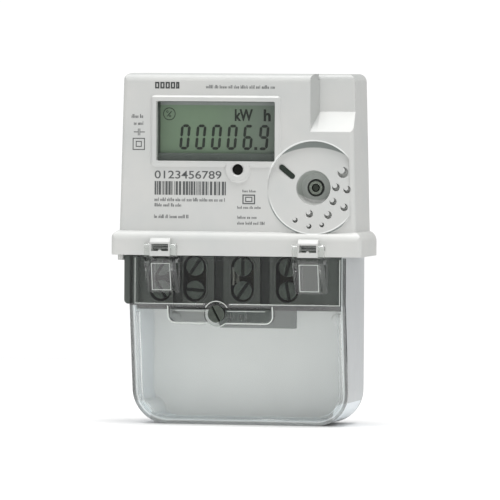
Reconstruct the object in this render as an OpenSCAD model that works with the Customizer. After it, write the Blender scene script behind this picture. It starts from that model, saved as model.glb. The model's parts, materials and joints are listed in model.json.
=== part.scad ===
// Single-phase prepaid electricity meter with a hinged clear terminal cover.
// Row frame: origin at the centre of the back face, X to the right of a person facing the meter,
// Y into the wall, Z up. Inside the modules z is measured from the lower edge of the hood band,
// and "depth" is the distance in front of the wall plane, so depth d lies at Y = -d.

/* [Housing] */
// Height of the front housing above the lower edge of the hood band
cover_h = 91; // [89:1:96]
// Height of the terminal tray below the hood band
tray_h = 85; // [80:1:100]
// Width of the front housing at its top
cover_w_top = 117; // [115:1:119]
// Width of the front housing where it meets the hood band
cover_w_low = 121; // [120:1:123]
// Width of the hood band
band_w = 128; // [126:1:132]
// Width of the terminal tray
tray_w = 110.4; // [110:0.2:112]
// Depth of the front face in front of the wall
face_d = 48.5; // [48.5:0.5:49]
// Wall thickness of the mouldings
wall = 2.2; // [2:0.1:2.4]

/* [Display] */
// Width of the display window
window_w = 60.7; // [58:0.1:62]
// Height of the display window
window_h = 29.8; // [28:0.1:30]

/* [Key reader] */
// Radius of the key reader's round field
disc_r = 23.2; // [22:0.1:23.4]
// Radius of the key dish at its mouth
dish_r = 8.7; // [8.4:0.1:8.8]
// Forward tilt of the round field in degrees
disc_tilt = 4; // [3:0.5:4.5]

/* [Terminals] */
// Radius of the cable bores
cable_r = 4.4; // [4:0.1:4.6]
// Radius of the terminal screw heads
head_r = 4.6; // [4.2:0.1:5]

/* [Hidden] */
$fn = 48;

band_z = (tray_h - cover_h) / 2;
eps = 0.01;

// Depths in front of the wall
base_rim_d = 12;
gasket_t = 0.8;
cover_back_d = base_rim_d + gasket_t;
band_d = face_d + 3;
strip_d = face_d - 1.5;
tray_foot_d = 37;
floor_t = 2.5;
board_d = 26;
board_t = 1.6;
lcd_d = 40;
pad_t = 1;
pad_margin = 3;

// Heights above the lower edge of the hood band
band_h = 12.5;
band_round = 5;
top_round = 4;
notch_drop = 6.8;
notch_round = 3;
shelf_z = 9.5;
shelf_t = 2;
strip_z = -24.5;
block_z = -27.2;
tray_round = 17;

// Places on the front face
window_x = -10.95;
window_z = 62.1;
disc_x = 39;
disc_z = 34.3;
disc_inset = 2.4;
dish_d = 6.6;
button_x = 0.4;
button_z = 43.1;
button_r = 2.45;
pipe_x = 25.4;
pipe_z = 42.2;
pipe_r = 1.28;
pipe_half = 3.5;
pipe_turn = -39;

// Terminal chamber
terminal_x = [-40.5, -23, 1.5, 24.5];
screw_z = [-5.8, -17.5];
screw_turn = [[-58, -55, 90, -75], [60, 4, -55, 80]];
clamp_w = 11;
clamp_z = [-25, 2];
clamp_d = [17, 33];
bore_d = 24;
block_w = 105;
block_d = [10, 40.8];
well_r = 5.9;
collar_w = 0.8;
collar_t = 0.5;
groove_x = [-31.7, -10.7, 13];
groove_w = 4.6;
fixing_x = 42;
fixing_z = -33;
fixing_r = 2.6;
keyhole_z = 62;
keyhole_r = 5;
keyhole_rise = 8;
hanger_t = 1.5;
hanger_w = 24;
stake_x = 9;
stake_z = keyhole_z + 4;
stake_r = 1.5;

// Cover hinge
hinge_x = 37.8;
hinge_z = 4.2;
hinge_d = band_d + 2.1;
hinge_r = 1.2;
eye_w = 10.2;
leg_w = 2.8;
tile_w = 9.4;
// Depths of the tile's front plane near its top and near its bottom
tile_d = [54, 50.6];
seal_x = -10.6;
seal_z = -29.2;
seal_head_r = 4.2;
seal_head_t = 2.4;
seal_boss_r = 6.5;
trough_x = [-36, 18.4];
trough_z = [-34.4, -25];
// The sealing screw is drawn backed out: its tip stands just clear of the insert in the tongue,
// and screwing it home moves it in by seal_travel
tongue_d = 37.5;
tongue_x = 27.8;
tongue_z = -36.2;
insert_d = 30.5;
insert_r = 3;
seal_travel = 2.8;
seal_tip_d = tongue_d + 0.4;
seal_clip_d = tongue_d + seal_travel + 0.1;
seal_floor_d = seal_clip_d + 0.7;
seal_floor_t = 1.2;
seal_seat_d = seal_floor_d + seal_floor_t + seal_travel + 0.1;

sounder_x = 48.3;
sounder_z = 26;

case_post = [[-50, 80], [50, 80], [-50, 15.5], [50, 15.5]];
board_post = [[-40, 82], [40, 82], [-41, 17], [31, 23]];
corner_post = [53, -79.8, 6.5];
// Inner face of the hood band's left wall
wall_in_x = wall - band_w / 2;
// Where each pair of posts ends inside the front face: less deep under the notch and the round field
post_front = [face_d - wall + 0.2, face_d - 8, face_d - wall + 0.2, face_d - wall + 0.2];

// Crescent-shaped sounder openings: x, z, radius
crescents = [[53.8, 42.1, 2.7], [50.4, 34.7, 1.95], [56.1, 33.6, 1.85], [49.1, 27.6, 1.8],
  [54.8, 24.8, 1.85], [46.7, 20.9, 1.9], [37.2, 21.4, 1.85], [30, 18.2, 1.3],
  [37.1, 15.2, 1.25], [43.6, 16, 1.2]];

function half_w(z) = cover_w_low / 2 + (cover_w_top - cover_w_low) / 2 * (z - band_h) / (cover_h - band_h);

// ---- helpers -------------------------------------------------------------------------------

module at_band() translate([0, 0, band_z]) children();

// A shape drawn as x and z, running from depth d0 to depth d1
module slab(d0, d1) translate([0, -d0, 0]) rotate([90, 0, 0]) linear_extrude(d1 - d0) children();

// A shape drawn as depth and z, running from x0 to x1
module side_slab(x0, x1) translate([x1, 0, 0]) rotate([90, 0, -90]) linear_extrude(x1 - x0) children();

module box(x, d, z) translate([x[0], -d[1], z[0]]) cube([x[1] - x[0], d[1] - d[0], z[1] - z[0]]);

module pin_y(x, z, d0, d1, r) translate([x, -d0, z]) rotate([90, 0, 0]) cylinder(h = d1 - d0, r = r);

module cone_y(x, z, d0, d1, r0, r1)
  translate([x, -d0, z]) rotate([90, 0, 0]) cylinder(h = d1 - d0, r1 = r0, r2 = r1);

module pin_z(x, d, z0, z1, r) translate([x, -d, z0]) cylinder(h = z1 - z0, r = r);

module pin_x(x0, x1, d, z, r) translate([x0, -d, z]) rotate([0, 90, 0]) cylinder(h = x1 - x0, r = r);

module rect(x0, z0, x1, z1) translate([x0, z0]) square([x1 - x0, z1 - z0]);

// Rectangle with its lower corners rounded to low and its upper corners to high
module plate(x0, z0, x1, z1, low, high) {
  rect(x0, z0 + low, x1, z1 - high);
  rect(x0 + low, z0, x1 - low, z0 + low + eps);
  rect(x0 + high, z1 - high - eps, x1 - high, z1);
  if (low > 0) for (x = [x0 + low, x1 - low]) translate([x, z0 + low]) circle(low);
  if (high > 0) for (x = [x0 + high, x1 - high]) translate([x, z1 - high]) circle(high);
}

module pill(length, r) {
  square([length, 2 * r], center = true);
  for (side = [-1, 1]) translate([side * length / 2, 0]) circle(r);
}

module cheese_screw(x, z, d_tip, d_seat, d_top, shank_r, r, turn, slot_w, slot_t) {
  difference() {
    union() {
      pin_y(x, z, d_tip, d_seat, shank_r);
      pin_y(x, z, d_seat, d_top, r);
    }
    translate([x, -d_top, z]) rotate([0, turn, 0]) cube([2.4 * r, 2 * slot_t, slot_w], center = true);
  }
}

// ---- casing --------------------------------------------------------------------------------

module tray_outline(inset)
  plate(inset - tray_w / 2, inset - tray_h, tray_w / 2 - inset, cover_h - 3 - inset,
    tray_round - inset, 4);

// Outline of the front housing, widening towards the band, with rounded top corners
module cover_outline(inset) {
  r = top_round;
  top = cover_h - inset;
  xt = half_w(cover_h) - inset;
  xl = half_w(0) - inset;
  polygon([[-xl, 0], [xl, 0], [xt, top - r], [xt - r, top], [r - xt, top], [-xt, top - r]]);
  for (side = [-1, 1]) translate([side * (xt - r), top - r]) circle(r);
}

// Side profile of the tray walls: level behind the window strip, then sloping to the foot
module tray_profile(back, drop)
  polygon([[back, -tray_h - eps], [tray_foot_d - drop, -tray_h - eps], [strip_d - drop, strip_z],
    [strip_d - drop, 0], [back, 0]]);

module tray_walls() {
  intersection() {
    slab(0, strip_d) difference() {
      tray_outline(0);
      tray_outline(wall);
      rect(-tray_w, 0, tray_w, cover_h);
    }
    side_slab(-tray_w, tray_w) tray_profile(0, cover_t + 0.15);
  }
  // the lower corners are thickened by a rounded column that stops short of the cover's lip
  for (side = [-1, 1]) intersection() {
    slab(0, strip_d) tray_outline(0.5);
    side_slab(-tray_w, tray_w) tray_profile(0, cover_t + 3);
    pin_y(side * corner_post[0], corner_post[1], 0, strip_d, corner_post[2]);
  }
}

module keyhole_pocket() {
  box([-8, 8], [floor_t - eps, 9], [keyhole_z - 8, keyhole_z + keyhole_rise + 6]);
}

// Outline of the steel hanger plate, which is let into the back
module hanger_outline(spread)
  plate(-hanger_w / 2 - spread, keyhole_z - 9 - spread, hanger_w / 2 + spread,
    keyhole_z + keyhole_rise + 7 + spread, 2, 2);

module rear_base() color("gainsboro") at_band() difference() {
  union() {
    slab(0, floor_t) tray_outline(0);
    tray_walls();
    slab(0, base_rim_d) difference() {
      tray_outline(0);
      tray_outline(wall);
      rect(-tray_w, -tray_h - 1, tray_w, 0);
    }
    slab(base_rim_d - 2, base_rim_d) difference() {
      union() {
        intersection() {
          cover_outline(1);
          rect(-band_w, 0, band_w, cover_h);
        }
        rect(1 - band_w / 2, 0, band_w / 2 - 1, shelf_z - 1);
      }
      plate(wall - tray_w / 2, -1, tray_w / 2 - wall, cover_h - 3 - wall, 0, 4);
    }
    box([-tray_w / 2 + 1, tray_w / 2 - 1], [1, 14], [shelf_z, shelf_z + shelf_t]);
    for (x = [-30, 12, 33]) box([x - 1.5, x + 1.5], [1, block_d[0]], [-26, 6]);
    for (p = case_post) pin_y(p[0], p[1], 1, 10, 4.4);
    keyhole_pocket();
  }
  for (p = case_post) {
    pin_y(p[0], p[1], -1, 6, 3.8);
    pin_y(p[0], p[1], 5, 11, 1.8);
  }
  for (side = [-1, 1]) pin_y(side * fixing_x, fixing_z, -1, floor_t + 1, fixing_r);
  // recess for the hanger plate around its two stakes, and room for the screw's head behind it
  difference() {
    slab(-1, hanger_t + 0.1) hanger_outline(0.2);
    for (side = [-1, 1]) pin_y(side * stake_x, stake_z, 0.2, 3, stake_r);
  }
  box([-6, 6], [0, 7.5], [keyhole_z - 6, keyhole_z + keyhole_rise + 4]);
  // gap in the left wall for the end lug of the terminal block
  box([-tray_w, -tray_w / 2 + wall + 1], [31.5, band_d], [-25.2, 1]);
  // ring grooves around the cable knock-outs in the bottom wall
  for (x = terminal_x) translate([x, -21, -tray_h - 1]) difference() {
    cylinder(h = 2.2, r = 7);
    cylinder(h = 2.2, r = 6.2);
  }
}

module wall_hanger() color("silver") at_band() slab(0, hanger_t) difference() {
  hanger_outline(0);
  translate([0, keyhole_z]) circle(keyhole_r);
  rect(-fixing_r, keyhole_z, fixing_r, keyhole_z + keyhole_rise);
  translate([0, keyhole_z + keyhole_rise]) circle(fixing_r);
  for (side = [-1, 1]) translate([side * stake_x, stake_z]) circle(stake_r + 0.05);
}

// The notch in the upper right corner of the face. back pushes its surfaces inwards by a wall.
module corner_recess(back) {
  floor_d = face_d - notch_drop - back;
  intersection() {
    translate([0, 0, 40]) linear_extrude(80)
      polygon([[37 - 1.1 * back, -face_d - eps], [40.8 - 1.1 * back, -floor_d], [90, -floor_d],
        [90, -face_d - 12], [37 - 1.1 * back, -face_d - 12]]);
    side_slab(20, 90)
      polygon([[face_d + eps, 62.2 - 1.2 * back], [floor_d, 72.3 - 1.2 * back], [floor_d, 110],
        [face_d + 12, 110], [face_d + 12, 62.2 - 1.2 * back]]);
  }
}

// Rounds the top edge of the notch's floor
module notch_rounding() {
  floor_d = face_d - notch_drop;
  difference() {
    box([37, 90], [floor_d - notch_round, floor_d + 1], [cover_h - notch_round, cover_h + 1]);
    pin_x(36, 91, floor_d - notch_round, cover_h - notch_round, notch_round);
  }
}

// Rounds the long front edge on one side of the housing, which leans in with the taper
module edge_rounding(side) {
  r = 2.2;
  lean = atan((cover_w_low - cover_w_top) / 2 / (cover_h - band_h));
  translate([side * half_w(0), -face_d, 0]) rotate([0, -side * lean, 0]) translate([-side * r, r, -5])
    linear_extrude(cover_h + 10) difference() {
      translate([side > 0 ? 0 : -r - 1, -r - 1]) square(r + 1);
      circle(r);
    }
}

module housing_body(inset, back) intersection() {
  slab(back, face_d - inset) cover_outline(inset);
  side_slab(-band_w, band_w) {
    rect(back, 0, face_d - inset, cover_h - inset - top_round);
    rect(back, cover_h - inset - top_round - eps, face_d - inset - top_round, cover_h - inset);
    translate([face_d - inset - top_round, cover_h - inset - top_round]) circle(top_round);
  }
}

module band_body() intersection() {
  slab(cover_back_d, band_d) plate(-band_w / 2, 0, band_w / 2, band_h, 0, band_round);
  side_slab(-band_w, band_w) {
    rect(cover_back_d, 0, band_d, band_h - band_round);
    rect(cover_back_d, band_h - band_round - eps, band_d - band_round, band_h);
    translate([band_d - band_round, band_h - band_round]) circle(band_round);
  }
  linear_extrude(band_h) translate([0, -band_d + 2.5]) {
    rect(-band_w / 2, 0, band_w / 2, band_d);
    rect(2.5 - band_w / 2, -2.5, band_w / 2 - 2.5, eps);
    for (side = [-1, 1]) translate([side * (band_w / 2 - 2.5), 0]) circle(2.5);
  }
}

// The round field leans forwards about a level line a little below its centre
module disc_frame() translate([disc_x, -face_d, disc_z - 5]) rotate([-disc_tilt, 0, 0]) translate([0, 0, 5])
  rotate([90, 0, 0]) children();

// The raised frame round the window, which slopes down to the face most gently at its foot
module window_pad() {
  x = [window_x - window_w / 2 - pad_margin, window_x + window_w / 2 + pad_margin];
  z = [window_z - window_h / 2 - pad_margin, window_z + window_h / 2 + pad_margin];
  front = face_d + pad_t;
  intersection() {
    slab(face_d - 1, front) plate(x[0], z[0], x[1], z[1], 2.5, 2.5);
    side_slab(x[0], x[1])
      polygon([[0, z[0]], [face_d, z[0]], [front, z[0] + 2 * pad_t], [front, z[1] - pad_t],
        [face_d, z[1]], [0, z[1]]]);
    translate([0, 0, z[0]]) linear_extrude(z[1] - z[0])
      polygon([[x[0], 0], [x[1], 0], [x[1], -face_d], [x[1] - pad_t, -front], [x[0] + pad_t, -front],
        [x[0], -face_d]]);
  }
  cone_y(button_x, button_z, face_d - 1, front, 7.6, 5.8);
}

// Hinge eye, chamfered along its upper front edge
module hinge_eye()
  side_slab(-eye_w / 2, eye_w / 2)
    polygon([[band_d - 1, -0.3], [hinge_d + 2.2, -0.3], [hinge_d + 2.2, 6.7], [hinge_d + 0.6, 8.6],
      [band_d - 1, 8.6]]);

// What is cut from a hinge eye and from the band behind it
module hinge_eye_cut() {
  pin_x(-eye_w, eye_w, hinge_d, hinge_z, hinge_r + 0.1);
  difference() {
    box([-eye_w / 2 + 0.7, eye_w / 2 - 0.7], [band_d - wall - 1, hinge_d + 5], [2.2, 5.8]);
    pin_y(0, 2.2, hinge_d + 0.9, hinge_d + 3, 0.75);
  }
}

module main_cover() color("whitesmoke") at_band() difference() {
  union() {
    difference() {
      union() {
        difference() {
          housing_body(0, cover_back_d);
          corner_recess(0);
          notch_rounding();
          for (side = [-1, 1]) edge_rounding(side);
        }
        band_body();
        window_pad();
      }
      // electronics compartment
      difference() {
        intersection() {
          housing_body(wall, cover_back_d - 1);
          box([-band_w, band_w], [0, 60], [shelf_z + shelf_t, cover_h]);
        }
        corner_recess(wall);
      }
      // room under the hood band
      box([wall_in_x, -wall_in_x], [cover_back_d - 1, band_d - wall], [-1, 7]);
      box([-block_w / 2 - 0.6, block_w / 2 + 0.6], [cover_back_d - 1, block_d[1] + 1], [-1, shelf_z]);
      box([-tray_w / 2, tray_w / 2], [0, 14.2], [-1, shelf_z + shelf_t + 1]);
      // room in front of the leaning round field, short of the housing's rounded side edge
      intersection() {
        disc_frame() cylinder(h = 12, r = disc_r);
        slab(20, band_d + 12) cover_outline(disc_inset);
      }
    }
    intersection() {
      disc_frame() translate([0, 0, -2.6]) cylinder(h = 2.6, r = disc_r);
      union() {
        slab(20, face_d - 1) cover_outline(0.4);
        slab(face_d - 1.1, band_d + 1) cover_outline(disc_inset);
      }
      box([-band_w, band_w], [0, 60], [shelf_z, cover_h]);
    }
    pin_y(disc_x, disc_z, face_d - dish_d - 2.2, face_d - 2, dish_r + 1.8);
    for (i = [0 : 3]) {
      pin_y(case_post[i][0], case_post[i][1], 10.2, post_front[i], 2.8);
      pin_y(board_post[i][0], board_post[i][1], board_d + board_t, post_front[i], 2.6);
    }
    for (side = [-1, 1]) translate([side * hinge_x, 0, 0]) hinge_eye();
    // skirt tab that laps over the terminal block's end lug
    box([wall_in_x - 1, -59.2], [28, 46], [0, 2]);
    box([wall_in_x + 0.2, -59.2], [28, 46], [-2.8, 2]);
  }
  for (side = [-1, 1]) translate([side * hinge_x, 0, 0]) hinge_eye_cut();
  // display window opening
  slab(face_d - wall - 3, face_d + 3)
    plate(window_x - window_w / 2, window_z - window_h / 2, window_x + window_w / 2,
      window_z + window_h / 2, 0.8, 0.8);
  // button hole with a countersunk rim
  pin_y(button_x, button_z, face_d - wall - 3, face_d + 3, button_r + 0.3);
  cone_y(button_x, button_z, face_d + pad_t - 0.8, face_d + pad_t + eps, button_r + 0.3, button_r + 1.1);
  // key dish: a short straight mouth, then a cone, with the contact hole in its floor
  pin_y(disc_x, disc_z, face_d - 3, face_d + 3, dish_r);
  cone_y(disc_x, disc_z, face_d - dish_d, face_d - 3 + eps, dish_r - 1.4, dish_r);
  pin_y(disc_x, disc_z, face_d - dish_d - 4, face_d, 4.4);
  for (c = crescents) slab(face_d - 8, face_d + 3) difference() {
    translate([c[0], c[1]]) circle(c[2]);
    translate([c[0] - 0.28 * c[2], c[1] + 0.42 * c[2]]) circle(0.62 * c[2]);
  }
  translate([pipe_x, 0, pipe_z]) slab(face_d - 8, face_d + 3) rotate(pipe_turn)
    pill(2 * pipe_half, pipe_r + 0.1);
  for (p = case_post) pin_y(p[0], p[1], 8, 20, 1.52);
  for (p = board_post) pin_y(p[0], p[1], board_d, board_d + 7, 1.22);
  // slots in the shelf for the copper bars
  for (x = terminal_x) box([x - 4.6, x + 4.6], [17.2, 23], [0, shelf_z + shelf_t + 1]);
}

module case_gasket() color("dimgray") at_band() slab(base_rim_d, cover_back_d) difference() {
  cover_outline(1.1);
  cover_outline(2.1);
  rect(-band_w, -1, band_w, shelf_z + shelf_t);
}

module case_screws() color("silver") at_band()
  for (p = case_post) translate([p[0], 0, p[1]]) difference() {
    union() {
      pin_y(0, 0, 3.8, 6, 3.5);
      pin_y(0, 0, 6, 18, 1.5);
    }
    box([-2.4, 2.4], [3, 4.9], [-0.4, 0.4]);
    box([-0.4, 0.4], [3, 4.9], [-2.4, 2.4]);
  }

// ---- display -------------------------------------------------------------------------------

module display_window() color("lightcyan", 0.4) at_band() difference() {
  slab(face_d - wall - 1.7, face_d - wall)
    plate(window_x - window_w / 2 - 2, window_z - window_h / 2 - 0.9, window_x + window_w / 2 + 2,
      window_z + window_h / 2 + 2, 1, 1);
  disc_frame() translate([0, 0, -10]) cylinder(h = 20, r = disc_r + 0.2);
}

lcd_x = [window_x - window_w / 2 - 1.2, window_x + window_w / 2 + 1.2];
lcd_z = [window_z - 13.4, window_z + 15.6];

module lcd_glass() color("darkseagreen") at_band() {
  box(lcd_x, [lcd_d, lcd_d + 1], lcd_z);
  box(lcd_x, [lcd_d + 1, lcd_d + 2], [lcd_z[0] + 2.2, lcd_z[1]]);
}

module lcd_frame() color("darkslategray") at_band() difference() {
  box([lcd_x[0] - 1.4, lcd_x[1] + 1.4], [board_d + board_t, face_d - wall - 1.8],
    [lcd_z[0] - 1.6, lcd_z[1] + 1.4]);
  box([lcd_x[0] + 1.2, lcd_x[1] - 1.2], [0, 60], [lcd_z[0] + 2.4, lcd_z[1] - 1]);
  box([lcd_x[0] - 0.1, lcd_x[1] + 0.1], [0, lcd_d + 2.1], [lcd_z[0] - 0.1, lcd_z[1] + 0.1]);
}

module lcd_backlight() color("palegreen") at_band()
  box([lcd_x[0] + 0.4, lcd_x[1] - 0.4], [lcd_d - 4, lcd_d], [lcd_z[0] + 2.6, lcd_z[1] - 0.4]);

module lcd_pins() color("silver") at_band()
  for (i = [0 : 17]) translate([lcd_x[0] + 5 + 3 * i, 0, lcd_z[0] + 0.6])
    box([0, 0.6], [board_d + board_t, lcd_d], [0, 0.6]);

// ---- circuit board -------------------------------------------------------------------------

module main_board() color("darkgreen") at_band() slab(board_d, board_d + board_t) difference() {
  rect(-45, 13.5, 53, 85);
  for (p = board_post) translate(p) circle(1.6);
  for (p = case_post) translate(p) circle(4);
  translate([disc_x, disc_z]) circle(3);
}

module board_screws() color("silver") at_band()
  for (p = board_post) translate([p[0], 0, p[1]]) difference() {
    union() {
      pin_y(0, 0, board_d - 1.6, board_d, 2.6);
      pin_y(0, 0, board_d, board_d + 6, 1.2);
    }
    box([-1.8, 1.8], [board_d - 2, board_d - 0.8], [-0.3, 0.3]);
    box([-0.3, 0.3], [board_d - 2, board_d - 0.8], [-1.8, 1.8]);
  }

module chip(x, z, w, h, t)
  box([x - w / 2, x + w / 2], [board_d + board_t, board_d + board_t + t], [z - h / 2, z + h / 2]);

module processor_chips() color("black") at_band() {
  chip(-30, 30, 14, 14, 1.4);
  chip(-8, 28, 8, 6, 1.6);
  chip(10, 26, 6, 5, 1.4);
  chip(-10, 19, 10, 4, 2);
}

module button_switch() color("dimgray") at_band() {
  chip(button_x, button_z, 6, 6, 3.6);
  pin_y(button_x, button_z, board_d + board_t + 3.5, board_d + board_t + 4.4, 1.7);
}

module scroll_button() color("black") at_band() {
  pin_y(button_x, button_z, board_d + board_t + 5.1, face_d - wall - 2.6, 1.6);
  pin_y(button_x, button_z, face_d - wall - 2.8, face_d - wall - 1.4, 2.9);
  pin_y(button_x, button_z, face_d - wall - 1.5, face_d - 0.3, button_r);
  cone_y(button_x, button_z, face_d - 0.3, face_d + 0.2, button_r, button_r - 0.6);
}

module led_light_pipe() color("darkslategray") at_band() translate([pipe_x, 0, pipe_z])
  slab(board_d + board_t + 4.2, face_d - 0.6) rotate(pipe_turn) pill(2 * pipe_half, pipe_r);

module pulse_led() color("firebrick") at_band() {
  pin_y(pipe_x, pipe_z, board_d + board_t, board_d + board_t + 0.9, 1.9);
  pin_y(pipe_x, pipe_z, board_d + board_t + 0.8, board_d + board_t + 3.9, 1.5);
}

module key_contact_holder() color("dimgray") at_band() difference() {
  union() {
    pin_y(disc_x, disc_z, board_d + board_t, face_d - dish_d - 2.2, 6);
    pin_y(disc_x, disc_z, face_d - dish_d - 2.3, face_d - dish_d - 0.8, 4.35);
  }
  pin_y(disc_x, disc_z, board_d, face_d, 1.56);
  pin_y(disc_x, disc_z, face_d - dish_d - 1.6, face_d, 3.3);
  pin_y(disc_x, disc_z, board_d, face_d - dish_d - 4.4, 2.6);
}

module key_contact_ring() color("silver") at_band() difference() {
  pin_y(disc_x, disc_z, face_d - dish_d - 1.6, face_d - dish_d + 0.6, 3.3);
  pin_y(disc_x, disc_z, face_d - dish_d - 2, face_d, 2.1);
}

module key_contact_pin() color("lightgray") at_band() {
  pin_y(disc_x, disc_z, board_d + board_t + 4.2, face_d - dish_d + 0.4, 1.5);
  pin_y(disc_x, disc_z, face_d - dish_d - 6, face_d - dish_d - 4.5, 2.45);
}

// Coil spring drawn as a stack of rings between the board and the pin's collar
spring_d = [board_d + board_t + 0.35, face_d - dish_d - 6.35];
spring_turns = 7;
module key_contact_spring() color("silver") at_band()
  for (i = [0 : spring_turns - 1])
    translate([disc_x, -spring_d[0] - i * (spring_d[1] - spring_d[0]) / (spring_turns - 1), disc_z])
      rotate([90, 0, 0]) rotate_extrude() translate([2.05, 0]) circle(0.3);

module sounder() color("black") at_band() difference() {
  pin_y(sounder_x, sounder_z, board_d + board_t, 39, 6);
  pin_y(sounder_x, sounder_z, 37.5, 40, 1.2);
}

module supply_capacitor() color("goldenrod") at_band() box([8, 26], [board_d - 12, board_d], [60, 72]);

module smoothing_capacitor() color("darkblue") at_band() pin_y(34, 62, board_d - 16, board_d, 5);

module surge_varistor() color("royalblue") at_band()
  translate([0, -board_d + 7, 47]) rotate([0, 90, 0]) translate([0, 0, 28]) cylinder(h = 4, r = 6.5);

module backup_battery() color("seagreen") at_band() pin_x(-34, -9, board_d - 7.3, 72, 7.2);

// ---- terminals -----------------------------------------------------------------------------

// Outline of the well around one terminal's two screws
module well(x, r) {
  rect(x - r, screw_z[1], x + r, screw_z[0]);
  for (z = screw_z) translate([x, z]) circle(r);
}

module terminal_block() color("darkslategray") at_band() difference() {
  union() {
    box([-block_w / 2, block_w / 2], block_d, [block_z, shelf_z - 0.6]);
    for (x = terminal_x) slab(block_d[1] - 1, block_d[1] + collar_t) well(x, well_r + collar_w);
    // tongue below the block, thicker around the insert for the sealing screw
    box([seal_x, tongue_x], [clamp_d[1], tongue_d], [tongue_z, block_z + 1]);
    box([seal_x - 5, seal_x + 5], [insert_d - 1.5, tongue_d], [seal_z, block_z + 1]);
    pin_y(seal_x, seal_z, insert_d - 1.5, tongue_d, 5);
    plate_lug();
  }
  for (x = terminal_x) {
    slab(clamp_d[1] - eps, block_d[1] + 1) well(x, well_r);
    // seat of the clamp, which slides in from below
    box([x - clamp_w / 2 - 0.1, x + clamp_w / 2 + 0.1], [clamp_d[0] - 0.1, clamp_d[1]],
      [tongue_z - 1, clamp_z[1] + 0.1]);
    box([x - 4.2, x + 4.2], [clamp_d[0] + 0.8, 22.4], [clamp_z[1], shelf_z]);
  }
  // shallow grooves that separate the terminals
  for (x = groove_x)
    box([x - groove_w / 2, x + groove_w / 2], [block_d[1] - 2, block_d[1] + 1], [block_z - 1, shelf_z + 1]);
  pin_y(seal_x, seal_z, insert_d, block_d[1] + 1, insert_r);
  pin_y(seal_x, seal_z, tongue_d, block_d[1] + 1, seal_head_r);
}

// Lug at the left end of the block, which shows outside the tray
module plate_lug() slab(32, 44.5) {
  rect(-58.6, -22.6, 1 - block_w / 2, -0.5);
  rect(-56.4, -24.8, 1 - block_w / 2, -0.5);
  translate([-56.4, -22.6]) circle(2.2);
}

module terminal_clamp(x) color("goldenrod") at_band() difference() {
  box([x - clamp_w / 2, x + clamp_w / 2], clamp_d, clamp_z);
  pin_z(x, bore_d, clamp_z[0] - 1, -1, cable_r);
  for (z = screw_z) pin_y(x, z, bore_d, clamp_d[1] + 1, 3.02);
  box([x - 4.05, x + 4.05], [18, 19.8], [-0.5, clamp_z[1] + 1]);
}

module clamp_screw(terminal, row) color("silver") at_band()
  cheese_screw(terminal_x[terminal], screw_z[row], bore_d + cable_r + 0.3, 37.4, 40, 2.95, head_r,
    screw_turn[row][terminal], 1.8, 1.3);

module voltage_link() color("lightgray") at_band() translate([terminal_x[2], 0, 0]) {
  box([-5.6, -4.9], [clamp_d[1], 39], [-14, -9]);
  box([-5.6, -3.2], [clamp_d[1], clamp_d[1] + 0.8], [-14, -9]);
  box([-5.6, -4.6], [38.2, 39], [-15, -6]);
}

module bar(x, top) box([x - 3.6, x + 3.6], [18.05, 19.75], [-0.4, top]);

module phase_bar_in() color("peru") at_band() bar(terminal_x[0], 17);

module phase_bar_out() color("peru") at_band() bar(terminal_x[1], 17);

module neutral_bar() color("peru") at_band() difference() {
  box([terminal_x[2] - 4, terminal_x[3] + 4], [18.05, 19.75], [-0.4, 36]);
  box([terminal_x[2] + 4, terminal_x[3] - 4], [17, 21], [-1, 28]);
}

module neutral_transformer() color("firebrick") at_band() difference() {
  pin_x(9, 17, 18.9, 32, 7);
  box([8, 18], [17.85, 19.95], [27.8, 36.2]);
}

// ---- latching relay ------------------------------------------------------------------------

relay_x = [-45.4, -12];
relay_z = [15, 46];
relay_d = [5, 24];
// Two pivots along Y: the armature's stands on the case wall, the contact arm's on the copper link
armature_pivot = [-28.7, 32];
arm_pivot = [-19.9, 28.8];

module relay_case() color("slategray") at_band() {
  difference() {
    box(relay_x, relay_d, relay_z);
    box([relay_x[0] + 1.2, relay_x[1] - 1.2], [relay_d[0] + 1.2, relay_d[1] - 1.2],
      [relay_z[0] + 1.2, relay_z[1] - 1.2]);
    for (x = [terminal_x[0], terminal_x[1]])
      box([x - 3.7, x + 3.7], [17.95, 19.85], [relay_z[0] - 1, relay_z[0] + 2]);
  }
  pin_y(armature_pivot[0], armature_pivot[1], relay_d[0] + 1, 16, 0.8);
}

module current_shunt() color("rosybrown") at_band() box([-44.1, -36.9], [18.05, 19.75], [17, 24]);

module relay_coil() color("sienna") at_band() {
  pin_x(-43.4, -31.4, 11, 40, 3.4);
  for (x = [-43.8, -32.6]) box([x, x + 1.2], [relay_d[0] + 1.2, 15.4], [36, 44]);
  pin_x(-31.5, -30.8, 11, 40, 1.6);
}

module relay_armature() color("silver") at_band() difference() {
  union() {
    box([armature_pivot[0] - 0.7, armature_pivot[0] + 0.7], [7, 15], [armature_pivot[1], 43]);
    pin_y(armature_pivot[0], armature_pivot[1], 7, 20, 1.7);
    box([armature_pivot[0], armature_pivot[0] + 4.5], [18, 20],
      [armature_pivot[1] - 1.7, armature_pivot[1] - 0.5]);
  }
  pin_y(armature_pivot[0], armature_pivot[1], 6, 16.5, 0.86);
}

module relay_fixed_contact() color("peru") at_band() {
  box([-44.1, -36.9], [18.05, 19.75], [24, 26.4]);
  box([-37, -30], [18.05, 19.75], [25, 26.4]);
  pin_z(-32, 18.9, 26.3, 27.2, 0.8);
}

module relay_contact_arm() color("peru") at_band() difference() {
  union() {
    box([-34, arm_pivot[0]], [18.05, 19.75], [28.4, 29.2]);
    pin_z(-32, 18.9, 27.3, 28.5, 0.8);
    pin_y(arm_pivot[0], arm_pivot[1], 18.05, 19.75, 1.7);
  }
  pin_y(arm_pivot[0], arm_pivot[1], 17, 21, 0.86);
}

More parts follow.
